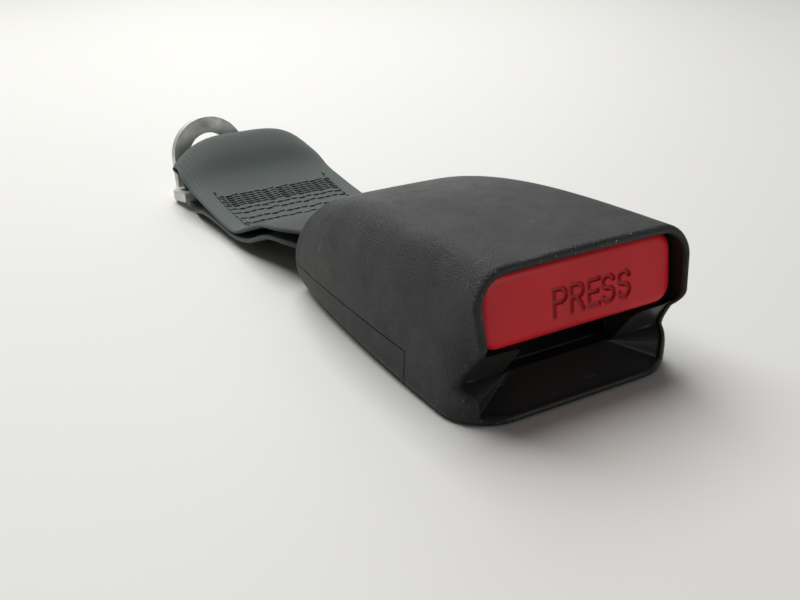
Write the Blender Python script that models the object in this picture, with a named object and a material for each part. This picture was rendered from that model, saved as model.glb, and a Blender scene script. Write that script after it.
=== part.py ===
# Seat belt buckle on a webbing strap with a bent anchor plate.
# Metres, +Z up. X runs across the buckle, the button faces -Y and the strap leads away along +Y.
# Lengths along the object are measured from the front datum, the plane through the middle of the bezel rim.
import math

import bmesh
import bpy
import numpy as np
from mathutils import Matrix, Vector

# Housing
HOUSING_LENGTH = 0.0819
FRONT_HALF_BOTTOM = 0.0275
FRONT_HALF_TOP = 0.0258
REAR_HALF_BOTTOM = 0.0212
REAR_HALF_TOP = 0.0271
FRONT_HEIGHT = 0.0316
REAR_HEIGHT = 0.0212
FRONT_TOP_RADIUS = 0.0068
REAR_TOP_RADIUS = 0.0128
FRONT_BOTTOM_RADIUS = 0.0012
REAR_BOTTOM_RADIUS = 0.0055
REAR_CURL_LENGTH = 0.0170
REAR_CURL_SCALE = 0.955
REAR_CURL_HEIGHT = 0.0045
TOP_CROWN = 0.0004
WALL = 0.0018
FACE_LEAN = 0.12
RIM_RADIUS = 0.0011
RIM_INNER_RADIUS = 0.0007
PARTING_HEIGHT = 0.0084
PARTING_START = 0.0242
FIT_GAP = 0.0003
RIB_THICKNESS = 0.0018
RIB_INSET = 0.0042
PAD_GAP = 0.0028

# Mouth for the tongue
LIP_FRONT = 0.0014
LIP_CORNER_RADIUS = 0.0110
LIP_CORNER_DEPTH = 0.0042
LIP_TOP = 0.0029
NOTCH_DEPTH = 0.0073
NOTCH_HEIGHT = 0.0066
BEZEL_FOOT = 0.0165
FLOOR_HEIGHT = 0.0065
FLOOR_DEPTH = 0.0094
SLOT_HALF = 0.0138
SHELF_HEIGHT = 0.0144
SHELF_FRONT = 0.0034
OPENING_HALF = 0.0241
OPENING_TOP = 0.0303
OPENING_RADIUS = 0.0050
OPENING_DEPTH = 0.0050
OPENING_END = 0.0186
MOUTH_DEPTH = 0.0120

# Release button
BUTTON_HALF = 0.0235
BUTTON_BOTTOM = 0.0149
BUTTON_TOP = 0.0299
BUTTON_RECESS = 0.0031
BUTTON_LENGTH = 0.0170
BUTTON_GUIDED = 0.0090
BUTTON_STEP = 0.0015
BUTTON_RADIUS = 0.0042
BUTTON_WALL = 0.0020
BUTTON_TRAVEL = 0.0060
ARM_INNER = 0.0110
ARM_WIDTH = 0.0021
ARM_HEIGHT = 0.0040

# Steel frame
STEEL = 0.0025
FRAME_BOTTOM = 0.0040
FRAME_HALF = 0.0175
FRAME_END_GAP = 0.0055
RAMP_TO_SLOT = 0.0030
RAMP_LENGTH = 0.0060
FRAME_RISE = 0.0062
CHEEK_START = 0.0270
CHEEK_END_GAP = 0.0040
CHEEK_TOP = 0.0142
EAR_TOP = 0.0168
EAR_LENGTH = 0.0120
FRAME_REAR_HALF = 0.0210
STRAP_SLOT_LENGTH = 0.0044
STRAP_BAR_LENGTH = 0.0050
BAR_SIDE = 0.0015

# Latch, ejector and lock pin
PIVOT_Y = 0.0470
PIVOT_Z = 0.0132
PIN_RADIUS = 0.0015
PIN_CLEARANCE = 0.0003
LATCH_FRONT = 0.0260
LATCH_HALF = 0.0095
LATCH_THICKNESS = 0.0025
HOOK_LENGTH = 0.0030
HOOK_HALF = 0.0060
LATCH_EYE_RADIUS = 0.0032
EJECTOR_FRONT = 0.0240
EJECTOR_LENGTH = 0.0140
EJECTOR_HALF = 0.0085
EJECTOR_HEIGHT = 0.0032
EJECTOR_NOSE = 0.0018
EJECTOR_RAMP = 0.0050
LOCK_PIN_Y = 0.0300
LOCK_PIN_RADIUS = 0.0014
SLIDER_LENGTH = 0.0060
GUIDE_FRONT = 0.0134
GUIDE_LENGTH = 0.0080
GUIDE_OPENING = 0.0044
GUIDE_THICKNESS = 0.0024

# Springs
BUTTON_SPRING_RADIUS = 0.0022
BUTTON_SPRING_WIRE = 0.0007
BUTTON_SPRING_X = 0.0168
BUTTON_SPRING_Z = 0.0215
BUTTON_SPRING_TURNS = 6
EJECTOR_SPRING_RADIUS = 0.0013
EJECTOR_SPRING_WIRE = 0.0005
EJECTOR_SPRING_TURNS = 8
LATCH_SPRING_RADIUS = 0.0014
LATCH_SPRING_WIRE = 0.0005
LATCH_SPRING_TURNS = 4

# Webbing strap
WEB_THICKNESS = 0.0012
WEB_HALF = 0.0230
WEB_HALF_IN_BUCKLE = 0.0182
WEB_HALF_AT_ANCHOR = 0.0215
LOOP_DROOP = 0.0078
THREAD_RADIUS = 0.0003
SEWN_START = 0.1205
SEWN_END = 0.1430
SEWN_ROWS = 7
SEWN_HALF = 0.0185

# Anchor plate
PLATE_THICKNESS = 0.0028
PLATE_HALF = 0.0228
PLATE_SLOT_HALF = 0.0205
PLATE_BAR = 0.0050
BAR_CHAMFER = 0.0010
PLATE_SLOT = 0.0053
PLATE_HEEL = 0.0070
PLATE_BEND_RADIUS = 0.0015
BOLT_HOLE_RADIUS = 0.0068
RING_RADIUS = 0.0118
RING_OFFSET = -0.0076
RING_HEIGHT = 0.0100
ANCHOR_BAR_Y = 0.1583
ANCHOR_BAR_Z = 0.0036
PLATE_TILT = math.radians(-8.2)

# The whole object is centred on its own length
FRONT_REACH = 0.0006
REAR_REACH = 0.1744
FRONT_Y = -0.5 * (FRONT_REACH + REAR_REACH)

RING_SEGMENTS = {"floor": 6, "corner": 2, "lip": 1, "fold": 3, "notch": 7, "cheek": 3, "shoulder": 4, "roof": 5}


def smooth(t):
    t = min(max(t, 0.0), 1.0)
    return t * t * (3 - 2 * t)


def mix(a, b, t):
    return a + (b - a) * t


def material(name, colour, roughness, metallic=0.0):
    found = bpy.data.materials.get(name)
    if found:
        return found
    made = bpy.data.materials.new(name)
    made.use_nodes = True
    shader = made.node_tree.nodes["Principled BSDF"]
    shader.inputs["Base Color"].default_value = (*colour, 1.0)
    shader.inputs["Roughness"].default_value = roughness
    shader.inputs["Metallic"].default_value = metallic
    return made


def black_plastic():
    return material("black_plastic", (0.030, 0.033, 0.032), 0.55)


def red_plastic():
    return material("red_plastic", (0.330, 0.012, 0.016), 0.35)


def white_plastic():
    return material("white_plastic", (0.62, 0.61, 0.57), 0.45)


def zinc_steel():
    return material("zinc_steel", (0.55, 0.56, 0.57), 0.30, 1.0)


def spring_steel():
    return material("spring_steel", (0.35, 0.35, 0.36), 0.35, 1.0)


def grey_webbing():
    return material("grey_webbing", (0.045, 0.052, 0.050), 0.85)


def felt():
    return material("felt", (0.02, 0.02, 0.02), 0.95)


def add_object(name, mesh, skin):
    thing = bpy.data.objects.new(name, mesh)
    mesh.materials.clear()
    mesh.materials.append(skin)
    PARTS.objects.link(thing)
    return thing


def mesh_from(work, name):
    bmesh.ops.recalc_face_normals(work, faces=work.faces)
    mesh = bpy.data.meshes.new(name)
    work.to_mesh(mesh)
    work.free()
    return mesh


def box_mesh(name, low, high):
    work = bmesh.new()
    bmesh.ops.create_cube(work, size=1.0)
    size = [b - a for a, b in zip(low, high)]
    middle = [(a + b) / 2 for a, b in zip(low, high)]
    bmesh.ops.transform(work, matrix=Matrix.Translation(middle) @ Matrix.Diagonal((*size, 1.0)), verts=work.verts)
    return mesh_from(work, name)


def rod_mesh(name, axis, centre, radius, low, high, segments=20):
    """A cylinder along X, Y or Z between two ends, through centre in the other two directions."""
    work = bmesh.new()
    bmesh.ops.create_cone(work, cap_ends=True, segments=segments, radius1=radius, radius2=radius, depth=high - low)
    turn = {"X": Matrix.Rotation(math.pi / 2, 4, "Y"), "Y": Matrix.Rotation(-math.pi / 2, 4, "X"), "Z": Matrix()}[axis]
    place = Vector(centre)
    place["XYZ".index(axis)] = (low + high) / 2
    bmesh.ops.transform(work, matrix=Matrix.Translation(place) @ turn, verts=work.verts)
    return mesh_from(work, name)


def extruded(name, outline, low, high):
    """A flat outline given as (y, z) points, extruded along X between two places."""
    work = bmesh.new()
    near = [work.verts.new((low, y, z)) for y, z in outline]
    far = [work.verts.new((high, y, z)) for y, z in outline]
    work.faces.new(near)
    work.faces.new(far[::-1])
    for i in range(len(outline)):
        j = (i + 1) % len(outline)
        work.faces.new((near[j], near[i], far[i], far[j]))
    return mesh_from(work, name)


def combine(target, mesh, operation, solver="EXACT"):
    """Cuts or joins target with a solid, and keeps the result as the target's own mesh."""
    tool = bpy.data.objects.new("cutter", mesh)
    CUTTERS.objects.link(tool)
    tool.hide_render = True
    tool.display_type = "WIRE"
    step = target.modifiers.new(operation.lower(), "BOOLEAN")
    step.object = tool
    step.operation = operation
    step.solver = solver
    bpy.context.view_layer.update()
    result = bpy.data.meshes.new_from_object(target.evaluated_get(bpy.context.evaluated_depsgraph_get()))
    target.modifiers.clear()
    target.data = result
    bpy.data.objects.remove(tool)


def cut(target, mesh):
    combine(target, mesh, "DIFFERENCE")


def join(target, mesh):
    combine(target, mesh, "UNION")


def tube(name, points, radius, skin, resolution=2):
    """A round wire along points, made a closed mesh."""
    curve = bpy.data.curves.new(name, "CURVE")
    curve.dimensions = "3D"
    curve.bevel_depth = radius
    curve.bevel_resolution = resolution
    curve.use_fill_caps = True
    line = curve.splines.new("POLY")
    line.points.add(len(points) - 1)
    for place, point in zip(line.points, points):
        place.co = (*point, 1.0)
    shape = bpy.data.objects.new(name, curve)
    PARTS.objects.link(shape)
    bpy.context.view_layer.update()
    mesh = bpy.data.meshes.new_from_object(shape.evaluated_get(bpy.context.evaluated_depsgraph_get()))
    bpy.data.objects.remove(shape)
    work = bmesh.new()
    work.from_mesh(mesh)
    bmesh.ops.remove_doubles(work, verts=work.verts, dist=0.00001)
    bmesh.ops.recalc_face_normals(work, faces=work.faces)
    work.to_mesh(mesh)
    work.free()
    return add_object(name, mesh, skin)


def coil(axis, centre, radius, low, high, turns, per_turn=10):
    """Points of a compression spring along an axis, with closed end turns."""
    points = []
    total = int(turns * per_turn)
    dead = per_turn
    pitch_steps = total - 2 * dead
    for i in range(total + 1):
        angle = 2 * math.pi * i / per_turn
        rise = min(max((i - dead) / pitch_steps, 0.0), 1.0)
        settle = 0.04 * (min(i, dead) / dead + max(i - total + dead, 0) / dead)
        along = mix(low, high, 0.92 * rise + settle)
        a, b = radius * math.cos(angle), radius * math.sin(angle)
        place = {"Y": (centre[0] + a, along, centre[2] + b), "Z": (centre[0] + a, centre[1] + b, along)}[axis]
        points.append(place)
    return points


def rim_plane(z):
    """Depth of the bezel rim at a height: the face leans back towards its top."""
    return FACE_LEAN * (z - FRONT_HEIGHT / 2) + FRONT_REACH


def lip_depth(x):
    """Depth of the lip's front in plan: straight across the middle, rounded to the sides."""
    past = min(max(x - LIP_FLAT_HALF, 0.0), LIP_CORNER_RADIUS)
    return LIP_FRONT + LIP_CORNER_RADIUS - math.sqrt(LIP_CORNER_RADIUS ** 2 - past ** 2)


def lip_cutback(y):
    """How far the side walls draw in towards the lip's front."""
    reach = LIP_FRONT + LIP_CORNER_RADIUS - max(y, LIP_CORNER_DEPTH)
    return LIP_CORNER_RADIUS - math.sqrt(LIP_CORNER_RADIUS ** 2 - max(reach, 0.0) ** 2)


def side_edge(z):
    """Depth of the housing's front edge on its side: rim above, receding notch, then forward again to the lip."""
    if z >= BEZEL_FOOT:
        return rim_plane(z)
    if z >= NOTCH_HEIGHT:
        return mix(rim_plane(BEZEL_FOOT), NOTCH_DEPTH, smooth((BEZEL_FOOT - z) / (BEZEL_FOOT - NOTCH_HEIGHT)))
    return mix(LIP_CORNER_DEPTH, NOTCH_DEPTH, (z / NOTCH_HEIGHT) ** 2.2)


LIP_FLAT_HALF = FRONT_HALF_BOTTOM - LIP_CORNER_RADIUS


def fillet(before, corner, after, radius, count):
    """Arc points that round a corner between two directions."""
    a = (before - corner).normalized()
    b = (after - corner).normalized()
    half = a.angle(b) / 2
    reach = radius / math.tan(half)
    centre = corner + (a + b).normalized() * (radius / math.sin(half))
    start = corner + a * reach - centre
    turn = (math.pi - 2 * half)
    return [centre + Matrix.Rotation(turn * i / count, 2) @ start for i in range(count + 1)]


def half_outline(y, inset=0.0):
    """Right half of the housing's cross-section, from bottom centre round to top centre."""
    t = min(max(y / HOUSING_LENGTH, 0.0), 1.0)
    low = mix(FRONT_HALF_BOTTOM, REAR_HALF_BOTTOM, t ** 2.5)
    high = mix(FRONT_HALF_TOP, REAR_HALF_TOP, t ** 2.5)
    height = mix(FRONT_HEIGHT, REAR_HEIGHT, t ** 3.4)
    lean = (high - low) / height
    bottom = Vector((low + lean * inset - inset, inset))
    top = Vector((high - lean * inset - inset, height - inset))
    low_radius = max(mix(FRONT_BOTTOM_RADIUS, REAR_BOTTOM_RADIUS, t) - inset, 0.0004)
    top_radius = max(mix(FRONT_TOP_RADIUS, REAR_TOP_RADIUS, t) - inset, 0.0004)
    points = [Vector((0.0, inset))]
    points += fillet(Vector((0.0, inset)), bottom, top, low_radius, 8)
    points += fillet(bottom, top, Vector((0.0, height - inset)), top_radius, 12)
    points.append(Vector((0.0, height - inset)))
    curl = min(max((y - HOUSING_LENGTH + REAR_CURL_LENGTH) / REAR_CURL_LENGTH, 0.0), 1.0)
    shrink = mix(REAR_CURL_SCALE, 1.0, math.sqrt(1 - curl * curl))
    cutback = lip_cutback(y)
    shaped = []
    for p in points:
        crown = TOP_CROWN * (1 - (p.x / high) ** 2) if p.y > height - inset - 0.0002 else 0.0
        near_lip = 1 - smooth((p.y - NOTCH_HEIGHT) / (SHELF_HEIGHT - NOTCH_HEIGHT))
        x = p.x * shrink * (1 - cutback * near_lip / low)
        z = REAR_CURL_HEIGHT + (p.y + crown - REAR_CURL_HEIGHT) * shrink
        shaped.append((x, z))
    return np.array(shaped)


def resample(outline, fractions):
    steps = np.hypot(*np.diff(outline, axis=0).T)
    along = np.concatenate([[0.0], np.cumsum(steps)]) / steps.sum()
    return np.stack([np.interp(fractions, along, outline[:, i]) for i in (0, 1)], axis=1)


def front_fractions():
    """Where each ring point sits along the half outline at the front, so that rows follow the mouth's features."""
    outline = half_outline(MOUTH_DEPTH * 2)
    steps = np.hypot(*np.diff(outline, axis=0).T)
    along = np.concatenate([[0.0], np.cumsum(steps)]) / steps.sum()
    side = slice(9, 11)
    marks = [0.0, along[1], along[9]]
    for z in (LIP_TOP, NOTCH_HEIGHT, BEZEL_FOOT):
        marks.append(float(np.interp(z, outline[side, 1], along[side])))
    marks += [along[10], along[22], 1.0]
    fractions = [0.0]
    for start, end, count in zip(marks, marks[1:], RING_SEGMENTS.values()):
        fractions += [mix(start, end, (i + 1) / count) for i in range(count)]
    return np.array(fractions)


def along_path(path, t):
    """Point at share t of a path given as (share, point) pairs."""
    for (t0, p0), (t1, p1) in zip(path, path[1:]):
        if t <= t1:
            return tuple(mix(a, b, (t - t0) / (t1 - t0)) for a, b in zip(p0, p1))
    return path[-1][1]


def throat_ring():
    """The edge where the mouth ends: the button's opening above and the narrower tongue slot below it."""
    n = RING_SEGMENTS
    near = 0.9
    ring = [(SLOT_HALF * near * i / n["floor"], FLOOR_DEPTH, FLOOR_HEIGHT) for i in range(n["floor"] + 1)]
    corner = n["corner"] + n["lip"] + n["fold"]
    ring += [(SLOT_HALF * mix(near, 1.0, (i + 1) / corner), FLOOR_DEPTH, FLOOR_HEIGHT) for i in range(corner)]
    slot_side = [(0.0, (SLOT_HALF, FLOOR_DEPTH, FLOOR_HEIGHT)), (3 / 7, (SLOT_HALF, SHELF_FRONT, SHELF_HEIGHT)),
                 (5 / 7, (OPENING_HALF, SHELF_FRONT, SHELF_HEIGHT)), (1.0, (OPENING_HALF, OPENING_DEPTH, BEZEL_FOOT))]
    ring += [along_path(slot_side, (i + 1) / n["notch"]) for i in range(n["notch"])]
    for i in range(n["cheek"]):
        z = mix(BEZEL_FOOT, OPENING_TOP - OPENING_RADIUS, (i + 1) / n["cheek"])
        ring.append((OPENING_HALF, OPENING_DEPTH, z))
    for i in range(n["shoulder"]):
        a = math.pi / 2 * (i + 1) / n["shoulder"]
        x = OPENING_HALF - OPENING_RADIUS * (1 - math.cos(a))
        ring.append((x, OPENING_DEPTH, OPENING_TOP - OPENING_RADIUS * (1 - math.sin(a))))
    for i in range(n["roof"]):
        x = (OPENING_HALF - OPENING_RADIUS) * (1 - (i + 1) / n["roof"])
        ring.append((x, OPENING_DEPTH, OPENING_TOP))
    return ring


def full_ring(half):
    """Mirrors a half ring that starts and ends on the centre plane."""
    return list(half) + [(-x, y, z) for x, y, z in half[-2:0:-1]]


def housing_rows():
    """Closed rings of the whole housing: outside from rear to front, round the rim, through the mouth, back inside."""
    front = front_fractions()
    even = np.linspace(0.0, 1.0, len(front))

    def ring_at(y, inset):
        blend = smooth(y / HOUSING_LENGTH)
        return resample(half_outline(y, inset), mix(front, even, blend))

    corner = ring_at(LIP_CORNER_DEPTH, 0.0)
    flat = RING_SEGMENTS["floor"]
    widest = FRONT_HALF_BOTTOM - lip_cutback(0.0)
    edge = [lip_depth(x * widest / corner[flat][0]) for x, z in corner[:flat + 1]]
    edge += [side_edge(z) for x, z in ring_at(MOUTH_DEPTH, 0.0)[flat + 1:]]
    rows = []
    curl = [HOUSING_LENGTH - REAR_CURL_LENGTH * (1 - math.sin(a * math.pi / 12)) for a in range(6, -1, -1)]
    body = [mix(HOUSING_LENGTH - REAR_CURL_LENGTH, MOUTH_DEPTH + 0.004, i / 8) for i in range(1, 9)]
    for y in curl + body:
        rows.append([(x, y, z) for x, z in ring_at(y, 0.0)])

    def edge_row(depth, inset):
        row = []
        for k, start in enumerate(edge):
            y = start + depth
            x, z = ring_at(y, inset)[k]
            row.append((x, y, z))
        return row

    for share in (0.75, 0.52, 0.34, 0.19, 0.08):
        row = []
        for k, start in enumerate(edge):
            y = mix(start + RIM_RADIUS, MOUTH_DEPTH + 0.004, share)
            x, z = ring_at(y, 0.0)[k]
            row.append((x, y, z))
        rows.append(row)
    for i in range(4):
        a = math.pi / 2 * i / 3
        rows.append(edge_row(RIM_RADIUS * (1 - math.sin(a)), RIM_RADIUS * (1 - math.cos(a))))
    for i in (1, 2):
        a = math.pi / 2 * i / 2
        rows.append(edge_row(RIM_INNER_RADIUS * (1 - math.cos(a)), RIM_RADIUS + RIM_INNER_RADIUS * math.sin(a)))
    inner_edge = rows[-1]
    throat = throat_ring()
    for share in (0.33, 0.67, 1.0):
        rows.append([tuple(mix(a, b, share) for a, b in zip(p, q)) for p, q in zip(inner_edge, throat)])
    deep = [OPENING_END if z >= BEZEL_FOOT - FIT_GAP else MOUTH_DEPTH for x, y, z in throat]
    rows.append([(x, y, z) for (x, _, z), y in zip(throat, deep)])
    straight = HOUSING_LENGTH - REAR_CURL_LENGTH
    for i in range(7):
        row = []
        for k, start in enumerate(deep):
            y = mix(start + 2 * FIT_GAP, straight, i / 6)
            x, z = ring_at(y, WALL)[k]
            row.append((x, y, z))
        rows.append(row)
    for a in (1, 2, 3, 4):
        y = HOUSING_LENGTH - REAR_CURL_LENGTH * (1 - math.sin(a * math.pi / 8))
        rows.append([(x, y, z) for x, z in ring_at(y, WALL)])
    return [full_ring(row) for row in rows]


def housing_mesh(name):
    work = bmesh.new()
    rings = [[work.verts.new(p) for p in row] for row in housing_rows()]
    for a, b in zip(rings, rings[1:] + rings[:1]):
        for i in range(len(a)):
            j = (i + 1) % len(a)
            work.faces.new((a[i], a[j], b[j], b[i]))
    bmesh.ops.triangulate(work, faces=work.faces)
    return mesh_from(work, name)


def lower_region(grow):
    """The space behind the parting step and below the parting line."""
    reach = 2 * FRONT_HALF_BOTTOM
    return box_mesh("lower_region", (-reach, PARTING_START - grow, -reach),
                    (reach, HOUSING_LENGTH + reach, PARTING_HEIGHT + grow))


def frame_ribs():
    """Where the two ribs under the frame start: behind the parting step, and before the frame's ramp."""
    return PARTING_START + RIB_INSET, frame_flat_end() - RIB_INSET


def make_covers():
    upper = add_object("upper_cover", housing_mesh("upper_cover"), black_plastic())
    lower = add_object("lower_cover", housing_mesh("lower_cover"), black_plastic())
    combine(upper, lower_region(FIT_GAP / 2), "DIFFERENCE", "MANIFOLD")
    combine(lower, lower_region(-FIT_GAP / 2), "INTERSECT", "MANIFOLD")
    seat = FRAME_BOTTOM - FIT_GAP
    sunk = WALL * 0.5
    join(upper, box_mesh("frame_seat", (-0.012, 0.0150, sunk), (0.012, 0.0200, seat)))
    for y in frame_ribs():
        join(lower, box_mesh("frame_rib", (-0.014, y, sunk), (0.014, y + RIB_THICKNESS, seat)))
    # Lugs that the button's springs push against
    lug_front = BUTTON_SEAT_Y
    for side in (-1, 1):
        inner, outer = BUTTON_SPRING_X - 0.0026, FRONT_HALF_TOP - WALL * 0.4
        low = (min(side * inner, side * outer), lug_front, BUTTON_SPRING_Z - 0.0030)
        high = (max(side * inner, side * outer), lug_front + 0.0025, BUTTON_SPRING_Z + 0.0030)
        join(upper, box_mesh("spring_lug", low, high))
    roof = half_outline(LATCH_SPRING_Y, WALL)[-1][1]
    join(upper, rod_mesh("spring_boss", "Z", (0.0, LATCH_SPRING_Y, 0.0), 0.0024, LATCH_SPRING_TOP, roof + WALL * 0.5))


BUTTON_SEAT_Y = 0.0370
LATCH_SPRING_Y = PIVOT_Y - LATCH_EYE_RADIUS - LATCH_SPRING_RADIUS - 0.0006
LATCH_TOP = PIVOT_Z + 0.0015
LATCH_SPRING_TOP = LATCH_TOP + 0.0100


def rounded_rectangle(half, low, high, radius, count=4):
    """Corner-rounded outline in X and Z, anticlockwise from the lower right."""
    corners = ((half - radius, low + radius, -90), (half - radius, high - radius, 0),
               (-half + radius, high - radius, 90), (-half + radius, low + radius, 180))
    points = []
    for x, z, start in corners:
        for i in range(count + 1):
            a = math.radians(start + 90 * i / count)
            points.append((x + radius * math.cos(a), z + radius * math.sin(a)))
    return points


def button_face(z):
    return FACE_LEAN * (z - FRONT_HEIGHT / 2) + BUTTON_RECESS


def make_button():
    """The pressed face with rounded edges, hollow behind, with two arms that hold the lock pin."""
    work = bmesh.new()
    back = BUTTON_RECESS + BUTTON_LENGTH
    guided = BUTTON_RECESS + BUTTON_GUIDED
    step = BUTTON_STEP
    soft = 0.0012
    rings = []
    for depth, inset in ((0.0, soft), (soft * 0.13, soft * 0.5), (soft * 0.5, soft * 0.13), (soft, 0.0)):
        outline = rounded_rectangle(BUTTON_HALF - inset, BUTTON_BOTTOM + inset, BUTTON_TOP - inset,
                                    BUTTON_RADIUS - inset)
        rings.append([work.verts.new((x, button_face(z) + depth, z)) for x, z in outline])
    outline = rounded_rectangle(BUTTON_HALF, BUTTON_BOTTOM, BUTTON_TOP, BUTTON_RADIUS)
    rings.append([work.verts.new((x, guided, z)) for x, z in outline])
    outline = rounded_rectangle(BUTTON_HALF - step, BUTTON_BOTTOM, BUTTON_TOP - step, BUTTON_RADIUS)
    rings.append([work.verts.new((x, guided + step * 0.4, z)) for x, z in outline])
    rings.append([work.verts.new((x, back, z)) for x, z in outline])
    for a, b in zip(rings, rings[1:]):
        for i in range(len(a)):
            j = (i + 1) % len(a)
            work.faces.new((a[j], a[i], b[i], b[j]))
    work.faces.new(rings[0])
    work.faces.new(rings[-1][::-1])
    button = add_object("release_button", mesh_from(work, "release_button"), red_plastic())
    wall = BUTTON_WALL
    hollow_front = button_face(BUTTON_TOP) + wall
    hollow_half = BUTTON_HALF - step - wall
    hollow_top = BUTTON_TOP - step - wall
    cut(button, box_mesh("hollow", (-hollow_half, hollow_front, BUTTON_BOTTOM + wall),
                         (hollow_half, back + wall, hollow_top)))
    # The floor of the hollow is open over the steel frame
    cut(button, box_mesh("floor_opening", (-hollow_half + wall, guided, BUTTON_BOTTOM - wall),
                         (hollow_half - wall, back + wall, BUTTON_BOTTOM + 2 * wall)))
    arm_low = LOCK_PIN_Z - LOCK_PIN_RADIUS - PIN_CLEARANCE - 0.0001
    for side in (-1, 1):
        inner, outer = side * ARM_INNER, side * (ARM_INNER + ARM_WIDTH)
        join(button, box_mesh("arm", (min(inner, outer), hollow_front - wall * 0.5, arm_low),
                              (max(inner, outer), LOCK_PIN_Y + 0.0030, arm_low + ARM_HEIGHT)))
        inner, outer = side * (BUTTON_SPRING_X - 0.0028), side * (hollow_half + wall * 0.5)
        join(button, box_mesh("spring_seat", (min(inner, outer), BUTTON_SPRING_FRONT - 0.0020, BUTTON_BOTTOM + wall * 0.5),
                              (max(inner, outer), BUTTON_SPRING_FRONT - FIT_GAP, hollow_top + wall * 0.5)))
    cut(button, rod_mesh("pin_hole", "X", (0.0, LOCK_PIN_Y, LOCK_PIN_Z), LOCK_PIN_RADIUS + PIN_CLEARANCE,
                         -ARM_INNER * 2, ARM_INNER * 2))
    return button


LOCK_PIN_Z = LATCH_TOP + LOCK_PIN_RADIUS + 0.0005
BUTTON_SPRING_FRONT = BUTTON_RECESS + BUTTON_LENGTH - 0.0030


def make_lock_parts():
    ends = ARM_INNER + ARM_WIDTH + 0.0006
    add_object("lock_pin", rod_mesh("lock_pin", "X", (0.0, LOCK_PIN_Y, LOCK_PIN_Z), LOCK_PIN_RADIUS, -ends, ends),
               spring_steel())
    half = ARM_INNER - FIT_GAP
    low = LOCK_PIN_Z - LOCK_PIN_RADIUS + 0.0002
    slider = add_object("lock_slider", box_mesh("lock_slider", (-half, LOCK_PIN_Y - SLIDER_LENGTH / 2, low),
                                                (half, LOCK_PIN_Y + SLIDER_LENGTH / 2, low + 0.0050)), white_plastic())
    cut(slider, rod_mesh("pin_groove", "X", (0.0, LOCK_PIN_Y, LOCK_PIN_Z), LOCK_PIN_RADIUS + PIN_CLEARANCE,
                         -half * 2, half * 2))
    cut(slider, box_mesh("groove_mouth", (-half * 2, LOCK_PIN_Y - LOCK_PIN_RADIUS - PIN_CLEARANCE, low - 0.0010),
                         (half * 2, LOCK_PIN_Y + LOCK_PIN_RADIUS + PIN_CLEARANCE, LOCK_PIN_Z)))


def frame_profile():
    """Side view of the steel base: flat under the tongue, then stepped up to carry the strap."""
    flat, ramp = frame_flat_end(), frame_flat_end() + RAMP_LENGTH
    low, high = FRAME_BOTTOM, FRAME_BOTTOM + FRAME_RISE
    end = frame_end()
    start = MOUTH_DEPTH + 3 * FIT_GAP
    return [(start, low), (flat, low), (ramp, high), (end, high), (end, high + STEEL),
            (ramp - STEEL * 0.4, high + STEEL), (flat - STEEL * 0.4, low + STEEL), (start, low + STEEL)]


def frame_end():
    return HOUSING_LENGTH - FRAME_END_GAP


def strap_slot_start():
    return frame_end() - STRAP_BAR_LENGTH - STRAP_SLOT_LENGTH


def frame_flat_end():
    """Where the ramp starts, so that it ends a set way before the strap's slot."""
    return strap_slot_start() - RAMP_TO_SLOT - RAMP_LENGTH


def make_frame():
    frame = add_object("frame", extruded("frame", frame_profile(), -FRAME_HALF, FRAME_HALF), zinc_steel())
    high = FRAME_BOTTOM + FRAME_RISE
    end = frame_end()
    join(frame, box_mesh("rear_flat", (-FRAME_REAR_HALF, strap_slot_start() - RAMP_TO_SLOT + FIT_GAP, high),
                         (FRAME_REAR_HALF, end, high + STEEL)))
    slot_half = FRAME_REAR_HALF - BAR_SIDE
    slot_end = end - STRAP_BAR_LENGTH
    cut(frame, box_mesh("strap_slot", (-slot_half, slot_end - STRAP_SLOT_LENGTH, high - STEEL),
                        (slot_half, slot_end, high + 2 * STEEL)))
    for side in (-1, 1):
        inner, outer = side * (FRAME_HALF - STEEL), side * FRAME_HALF
        low_x, high_x = min(inner, outer), max(inner, outer)
        join(frame, box_mesh("cheek", (low_x, CHEEK_START, FRAME_BOTTOM + STEEL * 0.5),
                             (high_x, frame_flat_end() - CHEEK_END_GAP, CHEEK_TOP)))
        join(frame, box_mesh("ear", (low_x, PIVOT_Y - EAR_LENGTH / 2, FRAME_BOTTOM + STEEL * 0.5),
                             (high_x, PIVOT_Y + EAR_LENGTH / 2, EAR_TOP)))
    cut(frame, rod_mesh("pivot_hole", "X", (0.0, PIVOT_Y, PIVOT_Z), PIN_RADIUS + PIN_CLEARANCE,
                        -FRAME_HALF * 2, FRAME_HALF * 2))


def make_guide():
    """Plastic arch over the tongue's path, standing on the frame."""
    half = FRAME_HALF - STEEL - FIT_GAP
    floor = FRAME_BOTTOM + STEEL + FIT_GAP
    roof = FRAME_BOTTOM + STEEL + GUIDE_OPENING
    back = GUIDE_FRONT + GUIDE_LENGTH
    guide = add_object("tongue_guide", box_mesh("tongue_guide", (-half, GUIDE_FRONT, floor),
                                                (half, back, roof + GUIDE_THICKNESS)), white_plastic())
    inside = SLOT_HALF - FIT_GAP
    cut(guide, box_mesh("tongue_path", (-inside, GUIDE_FRONT - 0.005, floor - 0.005), (inside, back + 0.005, roof)))


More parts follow.
